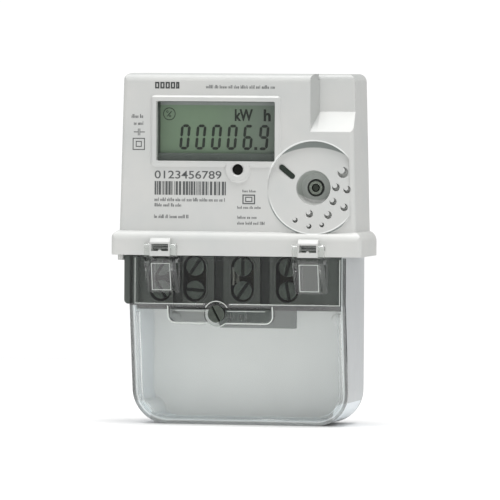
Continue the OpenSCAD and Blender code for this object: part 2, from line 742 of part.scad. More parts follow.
module relay_link() color("peru") at_band() {
  box([-26.6, -19.4], [18.05, 19.75], [17, 19]);
  box([-20.6, -19.2], [15.6, 17.9], [17.5, 30.5]);
  box([-20.6, -19.4], [17.8, 18.3], [17, 19]);
  pin_y(arm_pivot[0], arm_pivot[1], 17, 20, 0.8);
}

// ---- clear terminal cover ------------------------------------------------------------------

cover_t = 2;
sheet_top = -0.6;

// Side profile of the sheet: upright behind the window strip, then sloping back to the foot
module sheet_profile(front, back)
  polygon([[strip_d - back, sheet_top], [strip_d - front, sheet_top], [strip_d - front, strip_z],
    [tray_foot_d - front, -tray_h], [tray_foot_d - back, -tray_h], [strip_d - back, strip_z]]);

module cover_sheet_outline(inset)
  plate(-tray_w / 2 + inset, -tray_h + inset, tray_w / 2 - inset, 2, tray_round - inset, 0);

module hinge_arm() {
  for (side = [-1, 1]) {
    leg = side * (eye_w / 2 + 0.25 + leg_w / 2);
    pin_x(leg - leg_w / 2, leg + leg_w / 2, hinge_d, hinge_z, 1.9);
    side_slab(leg - leg_w / 2, leg + leg_w / 2)
      polygon([[hinge_d - 1.9, hinge_z], [hinge_d + 1.9, hinge_z], [hinge_d + 1.9, -3], [strip_d - 1, -19],
        [strip_d - 1, sheet_top], [hinge_d - 1.9, sheet_top]]);
  }
  pin_x(-eye_w / 2 - 0.5, eye_w / 2 + 0.5, hinge_d, hinge_z, hinge_r);
  // window tile between the legs: a thin shell with a raised rim
  difference() {
    side_slab(-eye_w / 2 - 0.5, eye_w / 2 + 0.5) tile_profile(0, -1.8, -18.6, strip_d - 0.5);
    side_slab(-tile_w / 2, tile_w / 2) tile_profile(-2, -4.2, -17.1, tile_d[1] + 6);
    side_slab(-tile_w / 2, tile_w / 2) tile_profile(0.5, -4.2, -17.1, strip_d - 0.5);
  }
}

// What is cut from the sheet and from behind each tile, so that its walls stay thin
module hinge_arm_hollow()
  side_slab(-tile_w / 2, tile_w / 2) tile_profile(1.9, -3.6, -17.1, strip_d - 3);

// Side profile of the tile between heights top and bottom, set back from its front plane by drop
module tile_profile(drop, top, bottom, back) {
  fall = (tile_d[0] - tile_d[1]) / 16;
  front_at = function(z) tile_d[0] - drop + (z + 2) * fall;
  polygon([[back, top], [front_at(top), top], [front_at(bottom), bottom], [back, bottom]]);
}

// The trough that holds the sealing screw is sunk into the top of the sloping panel
module trough_outline(inset)
  plate(trough_x[0] + inset, trough_z[0] + inset, trough_x[1] - inset, trough_z[1] - inset, 4 - inset, 1);

module seal_lug() difference() {
  box([-3.4, 4], [seal_floor_d, 45.6], [-33, -28.4]);
  for (x = [-2.4, 1]) box([x, x + 1.8], [seal_floor_d - 1, 50], [-31.9, -29.6]);
}

module terminal_cover() color("azure", 0.35) at_band() difference() {
  union() {
    difference() {
      union() {
        intersection() {
          slab(20, strip_d + 1) cover_sheet_outline(0);
          side_slab(-tray_w, tray_w) sheet_profile(0, cover_t);
        }
        // lip that drops inside the tray walls
        intersection() {
          slab(20, strip_d + 1) difference() {
            cover_sheet_outline(wall + 0.7);
            cover_sheet_outline(wall + 2.1);
            rect(-tray_w, strip_z - 4, tray_w, 5);
          }
          side_slab(-tray_w, tray_w) sheet_profile(cover_t - 0.5, cover_t + 2.2);
        }
        intersection() {
          slab(seal_floor_d, strip_d) trough_outline(0);
          side_slab(-tray_w, tray_w) sheet_profile(0, 12);
        }
      }
      slab(seal_floor_d + seal_floor_t, band_d) trough_outline(1.2);
      // shallow window panel below the hood
      box([-52.2, 52.2], [strip_d - 0.7, strip_d + 0.05], [strip_z + 0.4, -2.4]);
    }
    pin_y(seal_x, seal_z, seal_floor_d, strip_d - 0.8, seal_boss_r);
    seal_lug();
    for (side = [-1, 1]) translate([side * hinge_x, 0, 0]) hinge_arm();
  }
  for (side = [-1, 1]) translate([side * hinge_x, 0, 0]) hinge_arm_hollow();
  pin_y(seal_x, seal_z, seal_floor_d + seal_floor_t, band_d, seal_head_r + 0.25);
  pin_y(seal_x, seal_z, seal_floor_d - 1, band_d, 2.15);
}

module seal_screw() color("darkgray") at_band() difference() {
  union() {
    pin_y(seal_x, seal_z, seal_tip_d, seal_seat_d + 0.1, 1.95);
    pin_y(seal_x, seal_z, seal_seat_d, seal_seat_d + seal_head_t, seal_head_r);
  }
  // groove for the retaining clip, driver slot and the hole for the sealing wire
  difference() {
    pin_y(seal_x, seal_z, seal_clip_d - 0.05, seal_clip_d + 0.65, 3);
    pin_y(seal_x, seal_z, 0, 60, 1.5);
  }
  translate([seal_x, -seal_seat_d - seal_head_t, seal_z]) rotate([0, 62, 0])
    cube([2.4 * seal_head_r, 1.8, 1.1], center = true);
  pin_x(seal_x - 6, seal_x + 6, seal_seat_d + 0.8, seal_z, 0.5);
}

module seal_screw_clip() color("silver") at_band() difference() {
  pin_y(seal_x, seal_z, seal_clip_d, seal_clip_d + 0.6, 3.4);
  pin_y(seal_x, seal_z, 0, 60, 1.56);
}

module seal_screw_insert() color("goldenrod") at_band() difference() {
  pin_y(seal_x, seal_z, insert_d, tongue_d, insert_r);
  pin_y(seal_x, seal_z, insert_d - 1, tongue_d + 1, 2.02);
}

rear_base();
wall_hanger();
main_cover();
case_gasket();
case_screws();
display_window();
lcd_glass();
lcd_frame();
lcd_backlight();
lcd_pins();
main_board();
board_screws();
processor_chips();
scroll_button();
button_switch();
led_light_pipe();
pulse_led();
key_contact_ring();
key_contact_holder();
key_contact_pin();
key_contact_spring();
sounder();
terminal_block();
terminal_clamp(terminal_x[0]);  // terminal_clamp_1
terminal_clamp(terminal_x[1]);  // terminal_clamp_2
terminal_clamp(terminal_x[2]);  // terminal_clamp_3
terminal_clamp(terminal_x[3]);  // terminal_clamp_4
clamp_screw(0, 0);  // clamp_screw_1_upper
clamp_screw(0, 1);  // clamp_screw_1_lower
clamp_screw(1, 0);  // clamp_screw_2_upper
clamp_screw(1, 1);  // clamp_screw_2_lower
clamp_screw(2, 0);  // clamp_screw_3_upper
clamp_screw(2, 1);  // clamp_screw_3_lower
clamp_screw(3, 0);  // clamp_screw_4_upper
clamp_screw(3, 1);  // clamp_screw_4_lower
voltage_link();
phase_bar_in();
phase_bar_out();
current_shunt();
neutral_bar();
neutral_transformer();
relay_case();
relay_coil();
relay_armature();
relay_contact_arm();
relay_fixed_contact();
relay_link();
supply_capacitor();
smoothing_capacitor();
surge_varistor();
backup_battery();
terminal_cover();
seal_screw();
seal_screw_clip();
seal_screw_insert();
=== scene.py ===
"""Looks of the prepaid electricity meter: materials, printed and display marks, light and camera.

A size or place is in metres where it is multiplied by MM, comes from the frame, or belongs to the
stage, lights and camera. All others are in millimetres: "level" is a height above the lower edge
of the hood band, and "depth" a distance in front of the wall.
"""

import json
import math
import random

import bmesh
import bpy
from mathutils import Matrix, Vector


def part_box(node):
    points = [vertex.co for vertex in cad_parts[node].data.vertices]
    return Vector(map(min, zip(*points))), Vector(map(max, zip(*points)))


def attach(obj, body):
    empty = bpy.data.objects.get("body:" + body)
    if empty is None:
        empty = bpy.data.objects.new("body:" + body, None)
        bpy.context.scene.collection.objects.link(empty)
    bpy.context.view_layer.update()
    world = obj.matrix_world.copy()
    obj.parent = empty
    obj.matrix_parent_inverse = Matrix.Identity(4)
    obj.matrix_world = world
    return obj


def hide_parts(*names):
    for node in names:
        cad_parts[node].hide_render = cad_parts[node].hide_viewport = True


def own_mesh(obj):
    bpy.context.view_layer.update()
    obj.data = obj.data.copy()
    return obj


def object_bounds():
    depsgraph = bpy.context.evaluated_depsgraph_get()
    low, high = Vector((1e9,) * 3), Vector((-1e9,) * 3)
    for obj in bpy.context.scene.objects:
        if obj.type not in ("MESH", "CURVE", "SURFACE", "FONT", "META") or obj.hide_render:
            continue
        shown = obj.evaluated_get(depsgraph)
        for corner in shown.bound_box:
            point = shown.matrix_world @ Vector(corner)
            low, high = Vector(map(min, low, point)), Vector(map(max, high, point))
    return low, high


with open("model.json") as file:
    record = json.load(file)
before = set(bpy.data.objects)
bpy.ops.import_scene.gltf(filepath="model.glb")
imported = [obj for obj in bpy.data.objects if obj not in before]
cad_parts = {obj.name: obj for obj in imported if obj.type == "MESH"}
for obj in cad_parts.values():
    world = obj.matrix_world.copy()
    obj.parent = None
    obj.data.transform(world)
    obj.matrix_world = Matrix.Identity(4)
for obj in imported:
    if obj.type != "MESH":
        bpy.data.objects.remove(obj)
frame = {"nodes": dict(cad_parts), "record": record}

cad_low, cad_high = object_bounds()
nodes = frame["nodes"]

MM = 0.001

# Sizes that no node's box gives. POST is a corner column of the tray, DISH and FIELD are the key
# reader's dish and the round field about it, and LUNE is the painted shadow over the field
TRAY_DROP = 85 * MM
TRAY_CORNER_R = 17 * MM
WALL_T = 2.2 * MM
POST_X, POST_LEVEL, POST_R = 53, -79.8, 6.5 * MM
BLOCK_FOOT = -27.2
BLOCK_FRONT = 40.8 * MM
GROOVES = (-31.7 * MM, -10.7 * MM, 13 * MM)
GROOVE_HALF_W = 2.4 * MM
DISH_R = 8.7 * MM
FIELD_R = 23.2 * MM
LUNE_R = 37.3 * MM
LUNE_DROP = 17.1 * MM
FACE_FRONT = 48.5 * MM
LCD_LEFT = -40.8 * MM
LCD_HEAD = 75.1

band_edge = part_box("rear_base")[0].z + TRAY_DROP
face_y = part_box("display_window")[0].y - WALL_T
lcd_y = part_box("lcd_glass")[0].y
cover_low, cover_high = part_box("terminal_cover")
tray_outline = (cover_high.x, cover_low.z, TRAY_CORNER_R)
dish_axis = sum(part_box("key_contact_ring"), Vector()) / 2
seal_axis = sum(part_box("seal_screw"), Vector()) / 2


def spot(x, level, y):
    """The point at x and level, in millimetres, and at Y, in metres."""
    return Vector((x * MM, y, band_edge + level * MM))


def from_srgb(red, green, blue):
    """A linear colour from 8-bit screen values."""
    def linear(value):
        value /= 255
        return value / 12.92 if value <= 0.04045 else ((value + 0.055) / 1.055) ** 2.4
    return (linear(red), linear(green), linear(blue), 1)


def shade(colour, factor):
    """The same colour, lighter or darker."""
    return tuple(min(1, part * factor) for part in colour[:3]) + (1,)


# ---- materials -------------------------------------------------------------------------------

INPUT_LABELS = {"ior": "IOR", "specular": "Specular IOR Level"}
MIX_COLOUR_INPUTS, MIX_COLOUR_OUTPUT = (6, 7), 2


class Graph:
    """A material's node tree around one Principled shader, with short calls to build it."""

    def __init__(self, name):
        self.material = bpy.data.materials.new(name)
        self.material.use_nodes = True
        self.tree = self.material.node_tree
        self.tree.nodes.clear()
        self.surface = self.add("ShaderNodeBsdfPrincipled")
        self.output = self.add("ShaderNodeOutputMaterial")
        self.tree.links.new(self.surface.outputs["BSDF"], self.output.inputs["Surface"])
        self.place = self.add("ShaderNodeTexCoord")

    def add(self, kind, **settings):
        """A new node. A setting is an input's value or link where it names one, else a property."""
        node = self.tree.nodes.new(kind)
        for name, value in settings.items():
            label = name.replace("_", " ").title()
            if label in node.inputs:
                self.feed(node.inputs[label], value)
            else:
                setattr(node, name, value)
        return node

    def feed(self, socket, value):
        """Links a node's output to the socket, or sets the socket's value."""
        if isinstance(value, bpy.types.NodeSocket):
            self.tree.links.new(value, socket)
        else:
            socket.default_value = value

    def set(self, **values):
        """Sets or links the shader's own inputs."""
        for name, value in values.items():
            label = INPUT_LABELS.get(name, name.replace("_", " ").title())
            self.feed(self.surface.inputs[label], value)

    def noise(self, scale, detail=3, roughness=0.5, stretch=(1, 1, 1)):
        """Noise of that many features per metre, squeezed along each axis by stretch."""
        mapping = self.add("ShaderNodeMapping", Vector=self.place.outputs["Object"], Scale=stretch)
        texture = self.add("ShaderNodeTexNoise", Vector=mapping.outputs[0], Scale=scale,
                           Detail=detail, Roughness=roughness)
        return texture.outputs["Fac"]

    def ramp(self, factor, low, high, start=0, end=1):
        """start where factor is low and end where it is high, and never outside the two."""
        span = self.add("ShaderNodeMapRange")
        self.feed(span.inputs["Value"], factor)
        limits = {"From Min": low, "From Max": high, "To Min": start, "To Max": end}
        for label, value in limits.items():
            span.inputs[label].default_value = value
        return span.outputs["Result"]

    def blend(self, factor, first, second):
        """Mixes two colours, or two colour sockets."""
        mix = self.add("ShaderNodeMix", data_type="RGBA")
        self.feed(mix.inputs["Factor"], factor)
        for index, value in zip(MIX_COLOUR_INPUTS, (first, second)):
            self.feed(mix.inputs[index], value)
        return mix.outputs[MIX_COLOUR_OUTPUT]

    def maths(self, operation, first, second=0.0):
        """A Math node's result, for numbers or outputs of other nodes."""
        node = self.add("ShaderNodeMath", operation=operation)
        self.feed(node.inputs[0], first)
        self.feed(node.inputs[1], second)
        return node.outputs[0]

    def vector(self, operation, first, second=(0, 0, 0), output="Vector"):
        """A Vector Math node's result, which is a number where output is "Value"."""
        node = self.add("ShaderNodeVectorMath", operation=operation)
        self.feed(node.inputs[0], first)
        self.feed(node.inputs[1], second)
        return node.outputs[output]

    def along(self, axis):
        """The object coordinate along "X", "Y" or "Z", in metres."""
        parts = self.add("ShaderNodeSeparateXYZ", Vector=self.place.outputs["Object"])
        return parts.outputs[axis]

    def length(self, first, second):
        """The length of a vector with these two parts."""
        squares = self.maths("ADD", self.maths("MULTIPLY", first, first),
                             self.maths("MULTIPLY", second, second))
        return self.maths("SQRT", squares)

    def reach(self, centre):
        """Distance from the line along Y through centre, in metres."""
        return self.length(self.maths("SUBTRACT", self.along("X"), centre.x),
                           self.maths("SUBTRACT", self.along("Z"), centre.z))

    def within(self, value, low, high, soft=0.15 * MM):
        """1 between low and high, falling to 0 over soft beyond each."""
        return self.maths("MULTIPLY", self.ramp(value, low - soft, low),
                          self.ramp(value, high + soft, high))

    def all_of(self, mask, *others):
        """The product of masks."""
        for other in others:
            mask = self.maths("MULTIPLY", mask, other)
        return mask

    def soft_edges(self, radius):
        """Normals that round each edge off by radius."""
        return self.add("ShaderNodeBevel", samples=6, Radius=radius).outputs["Normal"]

    def bump(self, height, depth, under=None, strength=1.0):
        """Normals of a relief depth metres deep, on top of the normals under it."""
        node = self.add("ShaderNodeBump", Strength=strength, Distance=depth, Height=height)
        if under is not None:
            self.feed(node.inputs["Normal"], under)
        return node.outputs["Normal"]

    def edge_mask(self, radius):
        """1 on edges, 0 on flats: how far the rounded normal leans from the true one."""
        true = self.add("ShaderNodeNewGeometry").outputs["Normal"]
        lean = self.vector("DOT_PRODUCT", true, self.soft_edges(radius), "Value")
        return self.ramp(lean, 0.995, 0.85)


def moulded(name, colour, roughness=0.42, grain=0.35, edge=0.35, tint=None, rim=1.06, patches=(),
            specular=0.5):
    """Moulded plastic: faint mottling, a spark-eroded grain, softened edges painted slightly
    lighter.

    edge is the rounding of the edges in millimetres, and rim is how much lighter they are painted,
    as a highlight with slight wear. Each function in patches gives a mask and the colour that the
    piece has there.
    """
    g = Graph(name)
    mottle = g.noise(45, detail=4)
    mottled = g.ramp(mottle, 0.3, 0.7)
    flow = g.noise(16, detail=2, stretch=(1, 1, 0.35))
    base = g.blend(mottled, shade(colour, 0.965), tint or shade(colour, 1.02))
    base = g.blend(g.ramp(flow, 0.35, 0.75, 0, 0.35), base, shade(colour, 0.94))
    # Edges painted lighter by rim: a painted highlight, with slight wear.
    if rim != 1:
        base = g.blend(g.ramp(g.edge_mask(edge * MM), 0, 1, 0, 0.6), base, shade(colour, rim))
    for patch in patches:
        mask, second = patch(g)
        base = g.blend(mask, base, g.blend(mottled, shade(second, 0.96), second))
    fine = g.noise(2600, detail=2)
    coarse = g.noise(900, detail=3, roughness=0.6)
    g.set(base_color=base, ior=1.5, specular=specular,
          roughness=g.ramp(g.noise(260, detail=4), 0.25, 0.75, roughness - 0.05, roughness + 0.07))
    relief = g.maths("ADD", g.maths("MULTIPLY", fine, 0.6), g.maths("MULTIPLY", coarse, 0.4))
    g.set(normal=g.bump(relief, 0.02 * MM, g.soft_edges(edge * MM), grain))
    return g.material


def metal(name, colour, roughness=0.3, stretch=(1, 1, 12), scale=500, edge=0.12):
    """Metal with fine drawn streaks, slight tarnish and broken edges."""
    g = Graph(name)
    streak = g.noise(scale, detail=3, stretch=stretch)
    tarnish = g.noise(180, detail=5, roughness=0.65)
    base = g.blend(g.ramp(streak, 0.3, 0.7), shade(colour, 0.82), shade(colour, 1.1))
    base = g.blend(g.ramp(tarnish, 0.45, 0.75, 0, 0.55), base, shade(colour, 0.6))
    g.set(base_color=base, metallic=1.0,
          roughness=g.ramp(tarnish, 0.3, 0.7, roughness - 0.06, roughness + 0.14))
    g.set(normal=g.bump(streak, 0.02 * MM, g.soft_edges(edge * MM), 0.35))
    return g.material


LATHE_PHASE = 190.0  # of the turned rings, in radians across the width of a head


def turned_metal(name, colour, roughness=0.34, edge=0.25, metallic=1.0, front=None):
    """A screw head turned on a lathe about the node's own Y axis: fine rings and bright edges.

    Where the Y of its front is given, the driver slot behind it has painted shade. The bright edges
    are a painted highlight, with slight wear.
    """
    g = Graph(name)
    centred = g.vector("SUBTRACT", g.place.outputs["Generated"], (0.5, 0.5, 0.5))
    radius = g.vector("LENGTH", g.vector("MULTIPLY", centred, (1, 0, 1)), output="Value")
    rings = g.maths("SINE", g.maths("MULTIPLY", radius, LATHE_PHASE))
    tarnish = g.noise(420, detail=5, roughness=0.7)
    base = g.blend(g.ramp(rings, -1, 1), shade(colour, 0.86), shade(colour, 1.08))
    base = g.blend(g.ramp(tarnish, 0.42, 0.7, 0, 0.7), base, shade(colour, 0.55))
    # Painted shade in the driver slot.
    if front is not None:
        slot = g.ramp(g.along("Y"), front + 0.2 * MM, front + 0.9 * MM)
        base = g.blend(slot, base, shade(colour, 0.15))
    # Edges painted bright: a painted highlight, with slight wear.
    base = g.blend(g.ramp(g.edge_mask(edge * MM), 0, 1, 0, 0.85), base, shade(colour, 2.4))
    g.set(base_color=base, metallic=metallic,
          roughness=g.ramp(tarnish, 0.3, 0.7, roughness - 0.05, roughness + 0.2))
    g.set(normal=g.bump(rings, 0.01 * MM, g.soft_edges(edge * MM), 0.3))
    return g.material


def rim_mask(g, outline, width):
    """1 within width of the sides and rounded foot of outline = (half width, foot z, radius)."""
    half, foot, radius = outline
    past_side = g.maths("SUBTRACT", g.maths("ABSOLUTE", g.along("X")), half - radius)
    past_foot = g.maths("SUBTRACT", foot + radius, g.along("Z"))
    out = g.length(g.maths("MAXIMUM", past_side), g.maths("MAXIMUM", past_foot))
    return g.ramp(out, radius - width - 0.3 * MM, radius - width)


def clear(name, tint, roughness=0.03, ior=1.58, edge=0.2, ripple=0.05, outline=None, pocket=None):
    """Clear moulding: refracts what is seen through it, and lets the lamps' light pass.

    Where an outline is given, the rim of the sheet has painted shade, for the light that leaks out
    along its edge, and less so towards its foot. A pocket, given by its spans in x, z and y, has
    painted shade.
    """
    g = Graph(name)
    flow = g.noise(38, detail=2, stretch=(1, 1, 0.4))
    base = g.blend(g.ramp(flow, 0.3, 0.7), shade(tint, 0.985), tint)
    if outline:
        foot, radius = outline[1:]
        # Painted shade along the rim, fading towards the foot.
        rim_shade_fade = g.ramp(g.along("Z"), foot + 1 * MM, foot + radius, 0.55, 1)
        rim = g.maths("MULTIPLY", rim_mask(g, outline, 1.3 * MM), rim_shade_fade)
        base = g.blend(rim, base, shade(tint, 0.32))
    if pocket:
        # Painted shade over the pocket.
        dull = g.all_of(*(g.within(g.along(axis), *span) for axis, span in zip("XZY", pocket)))
        base = g.blend(dull, base, shade(tint, 0.6))
    g.set(base_color=base, transmission_weight=1.0, ior=ior,
          roughness=g.ramp(g.noise(300, detail=4), 0.35, 0.8, roughness, roughness + 0.05),
          normal=g.bump(flow, 0.05 * MM, g.soft_edges(edge * MM), ripple))
    pass_on = g.add("ShaderNodeBsdfTransparent", Color=tint)
    path = g.add("ShaderNodeLightPath")
    surface = g.surface.outputs["BSDF"]
    for ray in ("Is Shadow Ray", "Is Diffuse Ray"):
        mix = g.add("ShaderNodeMixShader")
        for index, value in enumerate((path.outputs[ray], surface, pass_on.outputs[0])):
            g.feed(mix.inputs[index], value)
        surface = mix.outputs[0]
    g.feed(g.output.inputs["Surface"], surface)
    return g.material


def board_material():
    """Green solder mask over copper tracks and plated pads."""
    g = Graph("board_mask")
    mask, track = from_srgb(24, 92, 52), from_srgb(46, 128, 74)
    cells = g.add("ShaderNodeTexBrick", Vector=g.place.outputs["Object"], Scale=160.0,
                  Mortar_Size=0.03)
    pads = g.add("ShaderNodeTexVoronoi", Vector=g.place.outputs["Object"], Scale=260.0)
    base = g.blend(g.ramp(cells.outputs["Fac"], 0, 1), mask, track)
    base = g.blend(g.ramp(pads.outputs["Distance"], 0.13, 0.1), base, from_srgb(196, 190, 170))
    g.set(base_color=base, roughness=g.ramp(g.noise(300), 0.3, 0.7, 0.25, 0.4), coat_weight=0.4,
          normal=g.bump(cells.outputs["Fac"], 0.03 * MM, strength=0.4))
    return g.material


def display_material():
    """Reflective display glass: grey-green, with painted shade to the right and at its left edge.
    """
    g = Graph("display_grey_green")
    pale, shaded_green = from_srgb(126, 150, 123), from_srgb(120, 131, 121)
    low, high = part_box("lcd_glass")
    across = g.ramp(g.along("X"), low.x, high.x)
    fleck = g.noise(5200, detail=2)
    # Painted shade: greyer towards the right.
    base = g.blend(g.ramp(across, 0.45, 0.95), pale, shaded_green)
    base = g.blend(g.ramp(fleck, 0.3, 0.7, 0, 0.25), base, shade(shaded_green, 0.9))
    # A paler grey band along the top edge.
    head = band_edge + LCD_HEAD * MM
    soft = 0.2 * MM
    base = g.blend(g.ramp(g.along("Z"), head - soft, head + soft), base, from_srgb(150, 155, 153))
    # Painted shadow along the left edge.
    left = g.ramp(g.along("X"), LCD_LEFT + soft, LCD_LEFT - soft)
    base = g.blend(left, base, from_srgb(52, 60, 52))
    g.set(base_color=base, roughness=g.ramp(fleck, 0.2, 0.8, 0.3, 0.45), ior=1.5)
    g.set(normal=g.bump(fleck, 0.01 * MM, strength=0.2))
    return g.material


def wound_material(name, colour, turns_per_metre):
    """Wire or tape laid side by side across X, painted as shade between turns and sheen on each."""
    g = Graph(name)
    wave = g.maths("SINE", g.maths("MULTIPLY", g.along("X"), turns_per_metre * 2 * math.pi))
    # Painted shade between the turns and a painted sheen on each, besides the real gloss.
    base = g.blend(g.ramp(wave, -1, 1), shade(colour, 0.5), shade(colour, 1.2))
    g.set(base_color=g.blend(g.ramp(g.noise(400), 0.3, 0.7, 0, 0.4), base, shade(colour, 0.8)),
          metallic=0.3, roughness=g.ramp(wave, -1, 1, 0.45, 0.3),
          normal=g.bump(wave, 0.1 * MM, strength=0.6))
    return g.material


def sleeve_material(name, colour, roughness=0.3):
    """Shrunk or dipped plastic skin with slight sags."""
    g = Graph(name)
    sag = g.noise(150, detail=2)
    g.set(base_color=g.blend(g.ramp(sag, 0.3, 0.7), shade(colour, 0.8), shade(colour, 1.15)),
          roughness=g.ramp(g.noise(500, detail=4), 0.3, 0.7, roughness, roughness + 0.12),
          coat_weight=0.3, normal=g.bump(sag, 0.2 * MM, g.soft_edges(0.3 * MM), 0.25))
    return g.material


def dish_shade_patch(g):
    """Painted shade inside the key dish, but not on its foot, which the light reaches."""
    above_foot = g.reach(dish_axis + Vector((0.8 * MM, 0, 9 * MM)))
    return (g.all_of(g.ramp(g.reach(dish_axis), DISH_R + 0.05 * MM, DISH_R - 0.1 * MM),
                     g.ramp(above_foot, 15.3 * MM, 14.8 * MM)),
            from_srgb(165, 170, 165))


def lune_shadow_patch(g):
    """Painted shadow over the upper edge of the key reader's field, where it leans into the face.
    """
    below = g.reach(dish_axis - Vector((0, 0, LUNE_DROP)))
    return (g.all_of(g.ramp(below, LUNE_R - 0.3 * MM, LUNE_R + 0.1 * MM),
                     g.ramp(g.reach(dish_axis), FIELD_R + 0.1 * MM, FIELD_R - 0.1 * MM),
                     g.ramp(g.along("Y"), -FACE_FRONT + 0.1 * MM, -FACE_FRONT + 0.4 * MM)),
            from_srgb(134, 140, 137))


def lip_highlight_patch(g):
    """Painted highlight on the lip: outside the field where it is sunk, inside where it stands
    proud.
    """
    reach = g.reach(dish_axis)
    above = g.ramp(g.along("Z"), dish_axis.z + 4 * MM, dish_axis.z + 12 * MM)
    below = g.ramp(g.along("Z"), dish_axis.z - 4 * MM, dish_axis.z - 12 * MM)
    outer = g.all_of(g.within(reach, FIELD_R, FIELD_R + 0.7 * MM), above)
    inner = g.all_of(g.within(reach, FIELD_R - 0.6 * MM, FIELD_R), below)
    front = g.ramp(g.along("Y"), -FACE_FRONT + 1.2 * MM, -FACE_FRONT + 0.5 * MM)
    short = g.ramp(g.along("X"), dish_axis.x + 18.5 * MM, dish_axis.x + 15 * MM)
    return g.all_of(g.maths("MAXIMUM", outer, inner), front, short), from_srgb(236, 238, 236)


def field_foot_shadow_patch(g):
    """Painted shadow on the face along the lower edge of the field."""
    below = g.ramp(g.along("Z"), dish_axis.z - 3 * MM, dish_axis.z - 12 * MM)
    return (g.all_of(g.within(g.reach(dish_axis), FIELD_R, FIELD_R + 0.6 * MM), below,
                     g.within(g.along("Y"), -FACE_FRONT - 0.1 * MM, -FACE_FRONT + 0.5 * MM),
                     g.ramp(g.along("X"), dish_axis.x + 17 * MM, dish_axis.x + 14 * MM)),
            from_srgb(140, 146, 144))


def notch_shade_patch(g):
    """Painted shade on the side wall in the notch."""
    return (g.all_of(g.within(g.along("X"), 37.4 * MM, 40.6 * MM, 0.4 * MM),
                     g.ramp(g.along("Z"), dish_axis.z + 29 * MM, dish_axis.z + 33 * MM),
                     g.ramp(g.along("Y"), -FACE_FRONT, -FACE_FRONT + 0.5 * MM, 0, 0.3)),
            from_srgb(104, 110, 107))


def crown_shade_patch(node, colour):
    """Painted shade on the rounded top edge of a node, darker towards the top."""
    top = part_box(node)[1].z
    return lambda g: (g.ramp(g.along("Z"), top - 3.0 * MM, top - 0.8 * MM), shade(colour, 0.74))


def tray_light_patch(g):
    """Painted light on the inside of the terminal tray, paler than the grained outside."""
    inside = g.maths("SUBTRACT", 1.0, rim_mask(g, tray_outline, WALL_T - 0.3 * MM))
    raised = g.ramp(g.along("Y"), -1.2 * MM, -1.8 * MM)
    return g.maths("MULTIPLY", inside, raised), from_srgb(244, 246, 244)


def wall_light_patch(g):
    """Painted light on the tray's walls and corner columns, cooler than on its floor."""
    walls = g.maths("SUBTRACT", rim_mask(g, tray_outline, WALL_T + 0.1 * MM),
                    rim_mask(g, tray_outline, WALL_T - 0.3 * MM))
    for side in (-1, 1):
        column = g.reach(spot(side * POST_X, POST_LEVEL, 0))
        column = g.ramp(column, POST_R + 0.1 * MM, POST_R - 0.1 * MM)
        walls = g.maths("MAXIMUM", walls, column)
    return g.all_of(walls, g.ramp(g.along("Y"), -2.4 * MM, -3.0 * MM)), from_srgb(236, 242, 246)


def block_patch(g):
    """Painted light on the block's tongue below its foot, and the block paler towards its ends."""
    foot = band_edge + BLOCK_FOOT * MM
    tongue = g.ramp(g.along("Z"), foot + 0.3 * MM, foot - 0.3 * MM)
    ends = g.ramp(g.maths("ABSOLUTE", g.along("X")), 36 * MM, 53 * MM, 0, 0.4)
    return g.maths("MAXIMUM", tongue, ends), from_srgb(92, 98, 95)


def well_shade_patch(g):
    """Painted shade in the wells and grooves behind the block's front plane, and a painted shadow
    along its foot.
    """
    edge = band_edge + (BLOCK_FOOT + 3) * MM
    sunk = g.ramp(g.along("Y"), -BLOCK_FRONT + 0.2 * MM, -BLOCK_FRONT + 1.0 * MM)
    foot = g.ramp(g.along("Z"), edge + 0.2 * MM, edge - 0.3 * MM)
    return g.maths("MAXIMUM", sunk, foot), from_srgb(16, 17, 15)


def groove_shade_patch(g):
    """Painted shade in the shallow grooves, lighter than in the wells, as light reaches them
    better.
    """
    grooves = 0.0
    for middle in GROOVES:
        groove = g.within(g.along("X"), middle - GROOVE_HALF_W, middle + GROOVE_HALF_W)
        grooves = g.maths("MAXIMUM", grooves, groove)
    return grooves, from_srgb(38, 43, 39)


HOUSING = from_srgb(203, 205, 203)
HOUSING_WARM = from_srgb(208, 208, 205)
BASE = from_srgb(194, 197, 198)
BLOCK = from_srgb(68, 73, 68)
PLATED = from_srgb(102, 110, 103)
CLEAR_TINT = (0.99, 0.998, 0.992, 1)

# The housing's patches are painted shade, shadow and highlight about the key reader and notch, and
# painted shade on its top edge.
housing = moulded("housing_satin", HOUSING, tint=HOUSING_WARM, edge=0.45,
                  patches=[dish_shade_patch, lune_shadow_patch, lip_highlight_patch, field_foot_shadow_patch, notch_shade_patch,
                           crown_shade_patch("main_cover", HOUSING)])
# The base's patches are painted light in the tray and on its walls, and painted shade on its top
# edge.
base_plastic = moulded("base_satin", BASE, roughness=0.45, edge=0.4,
                       patches=[tray_light_patch, wall_light_patch, crown_shade_patch("rear_base", BASE)])
# The block's patches are painted shade in its wells, grooves and foot and painted light on its
# tongue; rim paints its edges lighter as a highlight.
block_plastic = moulded("block_glass_filled", BLOCK, roughness=0.5, grain=0.7, edge=0.3, rim=2.2,
                        patches=[well_shade_patch, groove_shade_patch, block_patch])
dark_plastic = moulded("dark_moulding", from_srgb(52, 56, 52), grain=0.5, edge=0.2, rim=1.3)
button_plastic = moulded("button_satin", from_srgb(20, 21, 18), roughness=0.4, edge=0.3, rim=1.6,
                         specular=0.15)
chip_epoxy = moulded("chip_epoxy", from_srgb(34, 34, 36), roughness=0.55, grain=0.8, edge=0.15)
relay_plastic = moulded("relay_moulding", from_srgb(58, 62, 72), edge=0.2, rim=1.3)
capacitor_box = moulded("capacitor_case", from_srgb(196, 158, 52), edge=0.3)
gasket_rubber = moulded("gasket_rubber", from_srgb(60, 60, 60), roughness=0.75, grain=0.9)
diffuser = moulded("milky_light_guide", from_srgb(190, 205, 170), roughness=0.3, grain=0.2)
